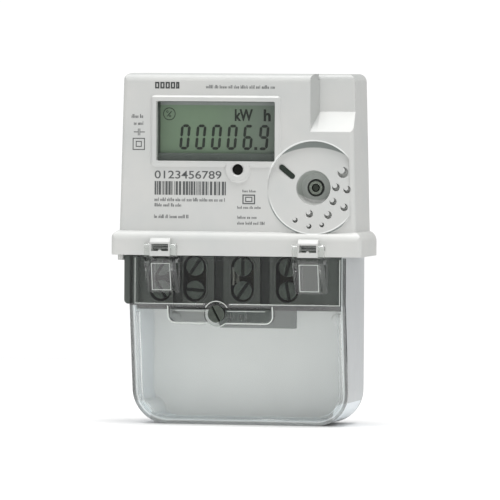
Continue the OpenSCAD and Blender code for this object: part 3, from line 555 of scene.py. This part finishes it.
smoked_lens = moulded("smoked_lens", from_srgb(48, 56, 50), roughness=0.24, grain=0.15, rim=1.5,
                      specular=0.3)
led_lens = sleeve_material("led_lens", from_srgb(170, 22, 18), 0.12)
plated_screw = turned_metal("screw_dull_nickel", PLATED,
                            front=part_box("clamp_screw_1_upper")[0].y)
zinc = metal("zinc_plate", from_srgb(196, 198, 200), 0.28, (1, 1, 1), 700)
spring_wire = metal("drawn_wire", from_srgb(180, 182, 184), 0.3, (1, 12, 1))
tinned = metal("tinned_strip", from_srgb(158, 160, 152), 0.3)
copper = metal("copper_strip", from_srgb(205, 128, 92), 0.25, (12, 1, 1))
shunt_alloy = metal("manganin_strip", from_srgb(168, 140, 118), 0.35)
brass_plated = metal("plated_brass", from_srgb(56, 54, 46), 0.5)
soft_iron = metal("soft_iron", from_srgb(150, 150, 148), 0.4)
seal_metal = turned_metal("seal_screw_nickel", from_srgb(104, 110, 103), 0.3,
                          front=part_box("seal_screw")[0].y)
reader_ring = turned_metal("reader_ring", from_srgb(150, 158, 147), 0.35, 0.1, 0.5)
reader_pin = turned_metal("reader_pin", from_srgb(66, 72, 64), 0.35, 0.1, 0.5)
# Spans in x, z and y of the painted shade over the trough's left part.
trough_pocket = ((-36 * MM, -17 * MM), (band_edge - 34.4 * MM, band_edge - 26 * MM),
                 (-43.2 * MM, -40 * MM))
clear_cover = clear("clear_polycarbonate", CLEAR_TINT, outline=tray_outline,
                    pocket=trough_pocket)
clear_window = clear("window_acrylic", (0.97, 0.98, 0.97, 1), 0.01, 1.49, 0.1, 0.02)

SLOT_MATERIALS = {
    "housing_plastic": housing, "base_plastic": base_plastic, "gasket_rubber": gasket_rubber,
    "zinc_steel": zinc, "plated_steel": plated_screw, "spring_steel": spring_wire,
    "window_clear": clear_window, "clear_polycarbonate": clear_cover,
    "lcd_glass": display_material(), "dark_plastic": dark_plastic,
    "light_diffuser": diffuser, "tinned_metal": tinned, "circuit_board": board_material(),
    "chip_black": chip_epoxy, "button_black": button_plastic, "smoked_lens": smoked_lens,
    "led_red": led_lens, "block_plastic": block_plastic, "copper": copper,
    "shunt_alloy": shunt_alloy, "brass_plated": brass_plated,
    "core_wrap": wound_material("wound_tape", from_srgb(150, 60, 50), 900),
    "relay_plastic": relay_plastic,
    "coil_copper": wound_material("wound_wire", from_srgb(176, 92, 50), 2200),
    "soft_iron": soft_iron, "capacitor_box": capacitor_box,
    "capacitor_sleeve": sleeve_material("capacitor_sleeve", from_srgb(48, 54, 110)),
    "varistor_coat": sleeve_material("varistor_coat", from_srgb(40, 90, 170)),
    "battery_sleeve": sleeve_material("battery_sleeve", from_srgb(50, 140, 96)),
}
for part in frame["record"]["subparts"]:
    obj = nodes[part["node"]]
    obj.data.materials.clear()
    obj.data.materials.append(SLOT_MATERIALS[part["material_slot"]])
nodes["key_contact_ring"].data.materials[0] = reader_ring
nodes["key_contact_pin"].data.materials[0] = reader_pin
nodes["seal_screw"].data.materials[0] = seal_metal
display_bezel = moulded("display_bezel", from_srgb(92, 100, 95), edge=0.2)
nodes["lcd_frame"].data.materials[0] = display_bezel


# ---- mesh helpers ----------------------------------------------------------------------------

def from_curve(curve):
    """The mesh of a curve or of a text, which is removed."""
    holder = bpy.data.objects.new(curve.name, curve)
    bpy.context.scene.collection.objects.link(holder)
    bpy.context.view_layer.update()
    mesh = bpy.data.meshes.new_from_object(holder)
    bpy.data.objects.remove(holder)
    bpy.data.curves.remove(curve)
    return mesh


def from_bmesh(name, draft):
    """The mesh of a bmesh, with its faces facing out."""
    bmesh.ops.recalc_face_normals(draft, faces=draft.faces)
    mesh = bpy.data.meshes.new(name)
    draft.to_mesh(mesh)
    draft.free()
    return mesh


def circle(steps):
    """That many angles round a circle, in radians."""
    return [2 * math.pi * k / steps for k in range(steps)]


def loft(draft, rings, closed=True):
    """Quads between each ring of vertices and the next."""
    count = len(rings[0])
    for first, second in zip(rings, rings[1:]):
        for k in range(count if closed else count - 1):
            after = (k + 1) % count
            draft.faces.new((first[k], first[after], second[after], second[k]))


def finish_piece(name, mesh, material, body="root", smooth=False):
    """Makes an object of the mesh that rides on body."""
    mesh.name = name
    mesh.materials.clear()
    mesh.materials.append(material)
    obj = bpy.data.objects.new(name, mesh)
    bpy.context.scene.collection.objects.link(obj)
    if smooth:
        for polygon in mesh.polygons:
            polygon.use_smooth = True
    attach(obj, body)
    return obj


class Marks:
    """Flat marks with a little thickness, gathered in one mesh on a plane that faces -Y."""

    THICKNESS = 0.04 * MM
    GAP = 0.005 * MM
    STROKE_WIDTHS = (0.22, 0.3, 0.42)
    STROKE_HEIGHTS = (0.62, 0.66, 1.0)
    STROKE_GAPS = (0.2, 0.26)
    STROKES_PER_WORD = (3, 8)
    LEAST_WORD = 0.5
    WORD_SPACE = 0.6

    def __init__(self, plane_y):
        self.back = plane_y - self.GAP
        self.front = self.back - self.THICKNESS
        self.mesh = bmesh.new()

    def polygon(self, points):
        """A filled outline of (x, level) points, anticlockwise seen from the front."""
        front = [self.mesh.verts.new(spot(x, z, self.front)) for x, z in points]
        back = [self.mesh.verts.new(spot(x, z, self.back)) for x, z in points]
        self.mesh.faces.new(front)
        self.mesh.faces.new(back[::-1])
        count = len(points)
        for i in range(count):
            j = (i + 1) % count
            self.mesh.faces.new((front[j], front[i], back[i], back[j]))

    def bar(self, x0, z0, x1, z1):
        """A filled rectangle."""
        self.polygon([(x0, z0), (x1, z0), (x1, z1), (x0, z1)])

    def frame(self, x0, z0, x1, z1, line):
        """The outline of a rectangle, as four mitred bars."""
        outer = [(x0, z0), (x1, z0), (x1, z1), (x0, z1)]
        inner = [(x0 + line, z0 + line), (x1 - line, z0 + line), (x1 - line, z1 - line),
                 (x0 + line, z1 - line)]
        for i in range(4):
            j = (i + 1) % 4
            self.polygon([outer[i], outer[j], inner[j], inner[i]])

    def ring(self, x, z, radius, line, steps=40):
        """A flat ring about x and z, as a row of short bars."""
        inside = radius - line
        for i in range(steps):
            a, b = (2 * math.pi * (i + k) / steps for k in (0, 1))
            self.polygon([(x + radius * math.cos(a), z + radius * math.sin(a)),
                          (x + radius * math.cos(b), z + radius * math.sin(b)),
                          (x + inside * math.cos(b), z + inside * math.sin(b)),
                          (x + inside * math.cos(a), z + inside * math.sin(a))])

    def words(self, x0, x1, z, height, rng):
        """A line of small print drawn as upright strokes in word groups, with no letters in it."""
        x = x0
        while x < x1 - self.LEAST_WORD:
            for _ in range(rng.randint(*self.STROKES_PER_WORD)):
                width = rng.choice(self.STROKE_WIDTHS)
                tall = height * rng.choice(self.STROKE_HEIGHTS)
                if x + width > x1:
                    break
                self.bar(x, z, x + width, z + tall)
                x += width + rng.choice(self.STROKE_GAPS)
            x += self.WORD_SPACE

    def piece(self, name, material):
        """Makes one piece of all the marks."""
        mesh = bpy.data.meshes.new(name)
        self.mesh.to_mesh(mesh)
        self.mesh.free()
        return finish_piece(name, mesh, material)


FIGURE_EXTRUDE = 0.02
FIGURE_GAP = 0.025 * MM


def lettering(name, text, x0, x1, level, height, plane_y, material, weight=0.0):
    """Flat figures that fill the width x0 to x1 and stand height tall."""
    curve = bpy.data.curves.new(name + "_text", "FONT")
    curve.body = text
    curve.extrude = FIGURE_EXTRUDE
    curve.offset = weight
    mesh = from_curve(curve)
    low = [min(v.co[i] for v in mesh.vertices) for i in (0, 1)]
    high = [max(v.co[i] for v in mesh.vertices) for i in (0, 1)]
    for vertex in mesh.vertices:
        across = (vertex.co.x - low[0]) / (high[0] - low[0])
        up = (vertex.co.y - low[1]) / (high[1] - low[1])
        vertex.co = spot(x0 + across * (x1 - x0), level + up * height,
                         plane_y - FIGURE_GAP - vertex.co.z * MM)
    return finish_piece(name, mesh, material)


def tube(name, points, radius, material, body, closed):
    """A bead of round section through (x, level, depth) points."""
    curve = bpy.data.curves.new(name + "_path", "CURVE")
    curve.dimensions = "3D"
    curve.bevel_depth = radius * MM
    curve.bevel_resolution = 3
    curve.use_fill_caps = True
    spline = curve.splines.new("POLY")
    spline.points.add(len(points) - 1)
    for target, (x, z, depth) in zip(spline.points, points):
        target.co = (*spot(x, z, -depth * MM), 1)
    spline.use_cyclic_u = closed
    return finish_piece(name, from_curve(curve), material, body, smooth=True)


def turned(name, profile, x, level, material, steps=48):
    """A piece turned about the line along Y through x and level, from (radius, depth) pairs."""
    draft = bmesh.new()
    rings = [[draft.verts.new(spot(x + radius * math.cos(a), level + radius * math.sin(a),
                                   -depth * MM)) for a in circle(steps)]
             for radius, depth in profile]
    loft(draft, rings)
    draft.faces.new(rings[0][::-1])
    draft.faces.new(rings[-1])
    return finish_piece(name, from_bmesh(name, draft), material, smooth=True)


def ink(name, colour, roughness=0.5):
    """Printing ink with slightly uneven cover."""
    g = Graph(name)
    cover = g.noise(1500, detail=3)
    g.set(base_color=g.blend(g.ramp(cover, 0.3, 0.75), colour, shade(colour, 1.35)),
          roughness=g.ramp(cover, 0.3, 0.7, roughness, roughness + 0.15))
    return g.material


print_ink = ink("print_ink", from_srgb(84, 86, 86))
bold_ink = ink("print_ink_bold", from_srgb(58, 60, 60))
display_ink = ink("display_segments", from_srgb(30, 36, 30), 0.5)


# ---- display figures -------------------------------------------------------------------------

SEGMENTS = {"0": "abcdef", "6": "acdefg", "9": "abcdfg"}
SLANT = math.tan(math.radians(5))


def digit(marks, x, z, width, height, lit, line=1.4, gap=0.12):
    """A seven-segment figure centred on x, standing on level z and leaning right."""
    half, middle, inner = width / 2, height / 2, line / 2

    def lean(px, pz):
        return x + px + (pz - middle) * SLANT, z + pz

    across = {"a": height - inner, "g": middle, "d": inner}
    for name, level in across.items():
        if name in lit:
            reach = half - inner - gap
            marks.polygon([lean(-reach, level), lean(-reach + inner, level - inner),
                           lean(reach - inner, level - inner), lean(reach, level),
                           lean(reach - inner, level + inner), lean(-reach + inner, level + inner)])
    upright = {"f": (-1, middle, height), "b": (1, middle, height),
               "e": (-1, 0, middle), "c": (1, 0, middle)}
    for name, (side, low, high) in upright.items():
        if name in lit:
            px = side * (half - inner)
            low += gap + (0 if low else inner)
            high -= gap + (0 if high == middle else inner)
            marks.polygon([lean(px, low), lean(px + inner, low + inner),
                           lean(px + inner, high - inner), lean(px, high),
                           lean(px - inner, high - inner), lean(px - inner, low + inner)])


READING = "000069"
FIRST_DIGIT_X, DIGIT_PITCH, DIGIT_LEVEL, DIGIT_W, DIGIT_H = -28.1, 8.08, 52.8, 5.0, 12.6
POINT_X, POINT_W = 7.5, 1.5
UNIT_LEVEL, UNIT_H, UNIT_WEIGHT = 67.2, 6.0, 0.035
PHASE_X, PHASE_LEVEL, PHASE_R, PHASE_LINE = -36.2, 70.6, 3.2, 0.4

figures = Marks(lcd_y)
for index, figure in enumerate(READING):
    digit(figures, FIRST_DIGIT_X + DIGIT_PITCH * index, DIGIT_LEVEL, DIGIT_W, DIGIT_H,
          SEGMENTS[figure])
figures.bar(POINT_X, DIGIT_LEVEL, POINT_X + POINT_W, DIGIT_LEVEL + POINT_W)
# The phase mark: a ring round a slanting stroke and two dots
figures.ring(PHASE_X, PHASE_LEVEL, PHASE_R, PHASE_LINE)
figures.polygon([(-37.6, 69.3), (-37.0, 69.3), (-34.8, 71.9), (-35.4, 71.9)])
for x, z in ((-37.2, 71.7), (-35.8, 69.5)):
    figures.ring(x, z, 0.6, 0.28, 16)
figures.piece("display_figures", display_ink)
for side, text, x0, x1 in (("left", "kW", -2.6, 6.7), ("right", "h", 12.2, 15.8)):
    lettering(f"display_unit_{side}", text, x0, x1, UNIT_LEVEL, UNIT_H, lcd_y, display_ink,
              UNIT_WEIGHT)

# ---- printed marks ---------------------------------------------------------------------------

# Each line of small print: first and last x, level and height
SMALL_PRINT = ((-16, 19.2, 83.5, 1.7), (-54.2, -47.8, 68.5, 1.9), (-53.0, -48.0, 65.0, 1.8),
               (-42.2, -5.6, 27.0, 1.8), (-42.2, -28.2, 24.3, 1.7), (-42.4, -24.4, 18.5, 1.8),
               (2.9, 9.8, 31.8, 1.3), (0.3, 12.6, 23.6, 1.4), (0.3, 10.6, 18.6, 1.5),
               (0.3, 14.6, 15.7, 1.5))
# Outlines of the plain symbols: corners and line width
SYMBOL_FRAMES = ((-53.6, 52.5, -47.3, 58.5, 0.45), (-52.0, 54.0, -48.9, 57.0, 0.45),
                 (2.9, 25.9, 9.4, 30.7, 0.6), (4.3, 27.0, 8.0, 29.6, 0.5))
SYMBOL_BARS = ((-53.0, 61.3, -50.9, 61.7), (-49.7, 61.3, -47.4, 61.7),
               (-50.9, 59.8, -50.55, 63.2), (-50.1, 59.8, -49.75, 63.2))
CODE_LEFT, CODE_RIGHT, CODE_FOOT, CODE_TOP = -42.2, -5.6, 30.2, 37.0
BAR_WIDTHS, BAR_GAPS, LEAST_BAR = (0.3, 0.45, 0.6, 0.9, 1.2), (0.3, 0.35, 0.5, 0.8), 0.4
SERIAL_LEFT, SERIAL_RIGHT, SERIAL_FOOT, SERIAL_H, SERIAL_WEIGHT = -42.2, -7.9, 38.3, 4.0, 0.008
TITLE_FOOT, TITLE_TOP, TITLE_LINE = 83.3, 86.6, 0.75
# Left edge and width of each block in the title's place
TITLE_BLOCKS = ((-42.2, 2.2), (-39.5, 2.2), (-36.8, 2.2), (-34.1, 2.2), (-31.4, 1.7))

rng = random.Random(17)
marks = Marks(face_y)
for line in SMALL_PRINT:
    marks.words(*line, rng)
for outline in SYMBOL_FRAMES:
    marks.frame(*outline)
for corners in SYMBOL_BARS:
    marks.bar(*corners)
marks.piece("face_print", print_ink)

bars = Marks(face_y)
x = CODE_LEFT
while x < CODE_RIGHT - LEAST_BAR:
    width = rng.choice(BAR_WIDTHS)
    bars.bar(x, CODE_FOOT, min(x + width, CODE_RIGHT), CODE_TOP)
    x += width + rng.choice(BAR_GAPS)
bars.piece("code_bars", print_ink)

title = Marks(face_y)
for x, width in TITLE_BLOCKS:
    title.frame(x, TITLE_FOOT, x + width, TITLE_TOP, TITLE_LINE)
title.piece("title_marks", bold_ink)
lettering("serial_figures", "0123456789", SERIAL_LEFT, SERIAL_RIGHT, SERIAL_FOOT, SERIAL_H,
          face_y, print_ink, SERIAL_WEIGHT)

# ---- painted highlights: pale beads on the rims of the clear cover ---------------------------

# The strip stands upright behind the hood band and the sheet slopes forward below it. A tile is
# the small window in a hinge arm, and the trough with its round boss holds the sealing screw
RIM_R = 0.2
STRIP_FRONT, STRIP_LEVEL = 46.95, -24.5
SHEET_FALL = 10 / 60.5
RIM_X, RIM_FOOT, RIM_TOP = 52.4, -24.3, -1.5
RIM_LEFT_END, RIM_RIGHT_END = -17.2, -4.0
TILE_X, TILE_HALF_W, TILE_TOP, TILE_FOOT = 37.8, 4.75, -4.0, -17.3
TILE_HEAD_LEVEL, TILE_HEAD_DEPTH, TILE_FALL = -2, 54, (54 - 50.6) / 16
BOSS_R = 6.4
TROUGH_LEFT, TROUGH_RIGHT, TROUGH_FOOT, TROUGH_TOP = -35.6, 18.0, -34.0, -25.4
TROUGH_ROUND = 3.8
TROUGH_RIM_R = 0.28
STEP_RISE, STEP_R, STEP_SINK, STEP_GAP = 2.4, 0.16, 0.5, 1
# Pale beads along the clear cover's rims stand in as painted highlights.
rim_highlight = moulded("rim_highlight", from_srgb(226, 231, 226), roughness=0.15, grain=0.1)


def rim(name, points, radius=RIM_R, closed=False):
    """A painted highlight: a pale rim bead on the clear cover through (x, level, depth) points."""
    tube(name, points, radius, rim_highlight, "terminal_cover", closed)


def tile_depth(level):
    """Depth of the clip tile's sloping front at a level."""
    return TILE_HEAD_DEPTH + (level - TILE_HEAD_LEVEL) * TILE_FALL


def sheet_depth(level):
    """Depth of the cover sheet's sloping front at a level below the window strip."""
    return STRIP_FRONT + (level - STRIP_LEVEL) * SHEET_FALL


def bead(name, outline, radius=RIM_R, sink=0.0):
    """A painted highlight: a pale rim bead on the sloping sheet through (x, level) points."""
    rim(name, [(x, z, sheet_depth(z) - sink) for x, z in outline], radius)


def arc(x, level, radius, start, end, steps=14):
    """(x, level) points round an arc, with its angles in degrees."""
    return [(x + radius * math.cos(math.radians(start + (end - start) * k / steps)),
             level + radius * math.sin(math.radians(start + (end - start) * k / steps)))
            for k in range(steps + 1)]


for side, edge_x, inner_x in (("left", -RIM_X, RIM_LEFT_END), ("right", RIM_X, RIM_RIGHT_END)):
    rim(f"window_rim_{side}", [(edge_x, RIM_TOP, STRIP_FRONT), (edge_x, RIM_FOOT, STRIP_FRONT),
                               (inner_x, RIM_FOOT, STRIP_FRONT)])

for side, centre in (("left", -TILE_X), ("right", TILE_X)):
    corners = [(centre - TILE_HALF_W, TILE_TOP), (centre + TILE_HALF_W, TILE_TOP),
               (centre + TILE_HALF_W, TILE_FOOT), (centre - TILE_HALF_W, TILE_FOOT)]
    rim(f"tile_rim_{side}", [(x, z, tile_depth(z)) for x, z in corners], closed=True)

seal_x, seal_level = seal_axis.x / MM, (seal_axis.z - band_edge) / MM
boss_half = math.degrees(math.asin((TROUGH_FOOT - seal_level) / BOSS_R))
boss_reach = BOSS_R * math.cos(math.radians(boss_half))
left_hub, right_hub = TROUGH_LEFT + TROUGH_ROUND, TROUGH_RIGHT - TROUGH_ROUND
hub_level = TROUGH_FOOT + TROUGH_ROUND
step_level = hub_level + STEP_RISE
bead("trough_rim", [(TROUGH_LEFT, TROUGH_TOP)]
     + arc(left_hub, hub_level, TROUGH_ROUND, 180, 270)
     + arc(seal_x, seal_level, BOSS_R, 180 - boss_half, 360 + boss_half)
     + arc(right_hub, hub_level, TROUGH_ROUND, -90, 0)
     + [(TROUGH_RIGHT, TROUGH_TOP)], TROUGH_RIM_R)
bead("boss_rim", arc(seal_x, seal_level, BOSS_R, 30, 150))
for side, start, end in (("left", left_hub, seal_x - boss_reach - STEP_GAP),
                         ("right", seal_x + boss_reach + STEP_GAP, right_hub)):
    bead(f"trough_step_{side}", [(start, step_level), (end, step_level)], STEP_R, STEP_SINK)

# ---- blanking plugs and dust screen ----------------------------------------------------------

PLUG_X, PLUG_LEVEL = 42, -33
# (radius, depth) pairs of a barb that widens to a domed head
PLUG_PROFILE = ((2.2, 0.6), (2.5, 1.0), (2.5, 2.5), (3.0, 2.5), (3.05, 2.75), (2.8, 3.05),
                (2.0, 3.2), (0.6, 3.24))
for side, x in (("left", -PLUG_X), ("right", PLUG_X)):
    turned(f"fixing_plug_{side}", PLUG_PROFILE, x, PLUG_LEVEL, base_plastic)

# The screen is part of a ring about the dish, from an angle in degrees and over a sweep
SCREEN_INNER, SCREEN_OUTER = 9.4, 20.6
SCREEN_BEHIND, SCREEN_T = 2.75, 0.2
SCREEN_START, SCREEN_SWEEP, SCREEN_STEPS = -128, 166, 36
MESH_PITCH = 0.35 * MM
FIELD_LEAN = math.radians(4)
FIELD_PIVOT = -5.0


def screen_material():
    """Fine woven plastic screen."""
    g = Graph("dust_screen")
    warp, weft = (g.maths("SINE", g.maths("MULTIPLY", g.along(axis), 2 * math.pi / MESH_PITCH))
                  for axis in "XZ")
    weave = g.maths("MULTIPLY", warp, weft)
    g.set(base_color=g.blend(g.ramp(weave, -0.6, 0.6), from_srgb(205, 207, 205),
                             from_srgb(235, 236, 233)),
          roughness=0.9, sheen_weight=0.3, normal=g.bump(weave, 0.05 * MM))
    return g.material


def dust_screen():
    """A stiff screen bonded behind the sounder openings, on the leaning plane of the field."""
    draft = bmesh.new()
    axis_x, axis_level = dish_axis.x / MM, (dish_axis.z - band_edge) / MM
    rings = []
    for radius, behind in ((SCREEN_INNER, SCREEN_BEHIND), (SCREEN_OUTER, SCREEN_BEHIND),
                           (SCREEN_OUTER, SCREEN_BEHIND + SCREEN_T),
                           (SCREEN_INNER, SCREEN_BEHIND + SCREEN_T)):
        ring = []
        for k in range(SCREEN_STEPS + 1):
            angle = math.radians(SCREEN_START + SCREEN_SWEEP * k / SCREEN_STEPS)
            across, up = radius * math.cos(angle), radius * math.sin(angle) - FIELD_PIVOT
            depth = -face_y / MM - behind * math.cos(FIELD_LEAN) - up * math.sin(FIELD_LEAN)
            level = axis_level + FIELD_PIVOT + up * math.cos(FIELD_LEAN)
            ring.append(draft.verts.new(spot(axis_x + across, level, -depth * MM)))
        rings.append(ring)
    loft(draft, rings + rings[:1], closed=False)
    for k in (0, SCREEN_STEPS):
        draft.faces.new([ring[k] for ring in rings])
    mesh = from_bmesh("dust_screen", draft)
    finish_piece("dust_screen", mesh, screen_material())


dust_screen()

# ---- contact spring --------------------------------------------------------------------------

WIRE_R = 0.3 * MM
WIRE_SIDES = 10
TURNS = 6.5
TURN_STEPS = 24
spring_low, spring_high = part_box("key_contact_spring")
spring_length = spring_high.y - spring_low.y


def spring_mesh():
    """A helix of round wire along Y between the ends of the spring's solid."""
    centre = (spring_low + spring_high) / 2
    radius = (spring_high.x - spring_low.x) / 2 - WIRE_R
    start, length = spring_low.y + WIRE_R, spring_length - 2 * WIRE_R
    draft = bmesh.new()
    rings = []
    count = int(TURNS * TURN_STEPS)
    for i in range(count + 1):
        angle = 2 * math.pi * i / TURN_STEPS
        out = Vector((math.cos(angle), 0, math.sin(angle)))
        hub = Vector((centre.x, start + length * i / count, centre.z)) + out * radius
        rings.append([draft.verts.new(hub + out * WIRE_R * math.cos(a)
                                      + Vector((0, WIRE_R * math.sin(a), 0)))
                      for a in circle(WIRE_SIDES)])
    loft(draft, rings)
    draft.faces.new(rings[0])
    draft.faces.new(rings[-1][::-1])
    return from_bmesh("contact_spring_wire", draft)


spring = finish_piece("contact_spring_wire", spring_mesh(), spring_wire,
                      smooth=True)
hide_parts("key_contact_spring")
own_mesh(spring)

# ---- stage, light and camera -----------------------------------------------------------------

FLOOR_GAP = 0.2 * MM
FLOOR_SIDES = (-0.9, 0.9, -0.8, 0.6)  # left, right, front and back
PAPER = (0.93, 0.93, 0.93, 1)
LIT_POINT = (0, -0.03, 0)
WHITE = (1, 1, 1, 1)
AZIMUTH, ELEVATION, ROLL = math.radians(12.74), math.radians(1.77), math.radians(0.31)
DISTANCE = 3.0
LENS, SENSOR_W, CLIP_END = 429.6, 36, 30
TURN_Y = -0.025
PAN = (1.56 * MM, 2.3 * MM)  # across and up from the centre that the view turns about


def stage_floor():
    """A wide floor that the tray's lower edge just stands on."""
    z = cad_low.z - FLOOR_GAP
    left, right, front, back = FLOOR_SIDES
    mesh = bpy.data.meshes.new("studio_floor")
    mesh.from_pydata([(left, front, z), (right, front, z), (right, back, z), (left, back, z)],
                     [], [(0, 1, 2, 3)])
    floor = bpy.data.objects.new("studio_floor", mesh)
    bpy.context.scene.collection.objects.link(floor)
    g = Graph("floor_paper")
    g.set(base_color=g.blend(g.noise(6), shade(PAPER, 0.99), PAPER), roughness=0.8)
    mesh.materials.append(g.material)


def softbox(name, place, size, power):
    """A soft rectangular lamp at place, aimed at the front of the object."""
    light = bpy.data.lights.new(name, "AREA")
    light.shape, light.size, light.size_y, light.energy = "RECTANGLE", size[0], size[1], power
    obj = bpy.data.objects.new(name, light)
    obj.location = place
    obj.rotation_euler = (Vector(LIT_POINT) - Vector(place)).to_track_quat("-Z", "Y").to_euler()
    bpy.context.scene.collection.objects.link(obj)


def studio_world(camera_white, fill, mirrored):
    """A surround as bright as paper to the camera, softer as a light, and dim in reflections."""
    world = bpy.data.worlds.new("studio")
    bpy.context.scene.world = world
    world.use_nodes = True
    tree = world.node_tree
    tree.nodes.clear()
    path = tree.nodes.new("ShaderNodeLightPath")

    def background(strength):
        """A white surround of that strength."""
        node = tree.nodes.new("ShaderNodeBackground")
        node.inputs["Strength"].default_value = strength
        node.inputs["Color"].default_value = WHITE
        return node.outputs[0]

    surround = background(fill)
    for ray, strength in (("Is Glossy Ray", mirrored), ("Is Camera Ray", camera_white)):
        mix = tree.nodes.new("ShaderNodeMixShader")
        tree.links.new(path.outputs[ray], mix.inputs[0])
        tree.links.new(surround, mix.inputs[1])
        tree.links.new(background(strength), mix.inputs[2])
        surround = mix.outputs[0]
    out = tree.nodes.new("ShaderNodeOutputWorld")
    tree.links.new(surround, out.inputs["Surface"])


stage_floor()
studio_world(camera_white=1.05, fill=0.48, mirrored=0.22)
softbox("key_above", (0.05, -0.2, 1.4), (1.1, 0.8), 26)
softbox("fill_front", (2.05, -1.72, 0.4), (1.6, 1.4), 6.2)
bpy.context.scene.view_settings.view_transform = "Standard"

turn_centre = Vector((0, TURN_Y, band_edge))
camera = bpy.data.objects.new("photo_camera", bpy.data.cameras.new("photo_camera"))
bpy.context.scene.collection.objects.link(camera)
camera.data.lens = LENS
camera.data.sensor_width = SENSOR_W
camera.data.clip_end = CLIP_END
back = Vector((math.sin(AZIMUTH) * math.cos(ELEVATION),
               -math.cos(AZIMUTH) * math.cos(ELEVATION), math.sin(ELEVATION)))
level_view = (-back).to_track_quat("-Z", "Y").to_matrix()
aim = turn_centre + level_view @ Vector((*PAN, 0))
camera.matrix_world = (Matrix.Translation(aim + back * DISTANCE)
                       @ (level_view @ Matrix.Rotation(ROLL, 3, "Z")).to_4x4())
bpy.context.scene.camera = camera
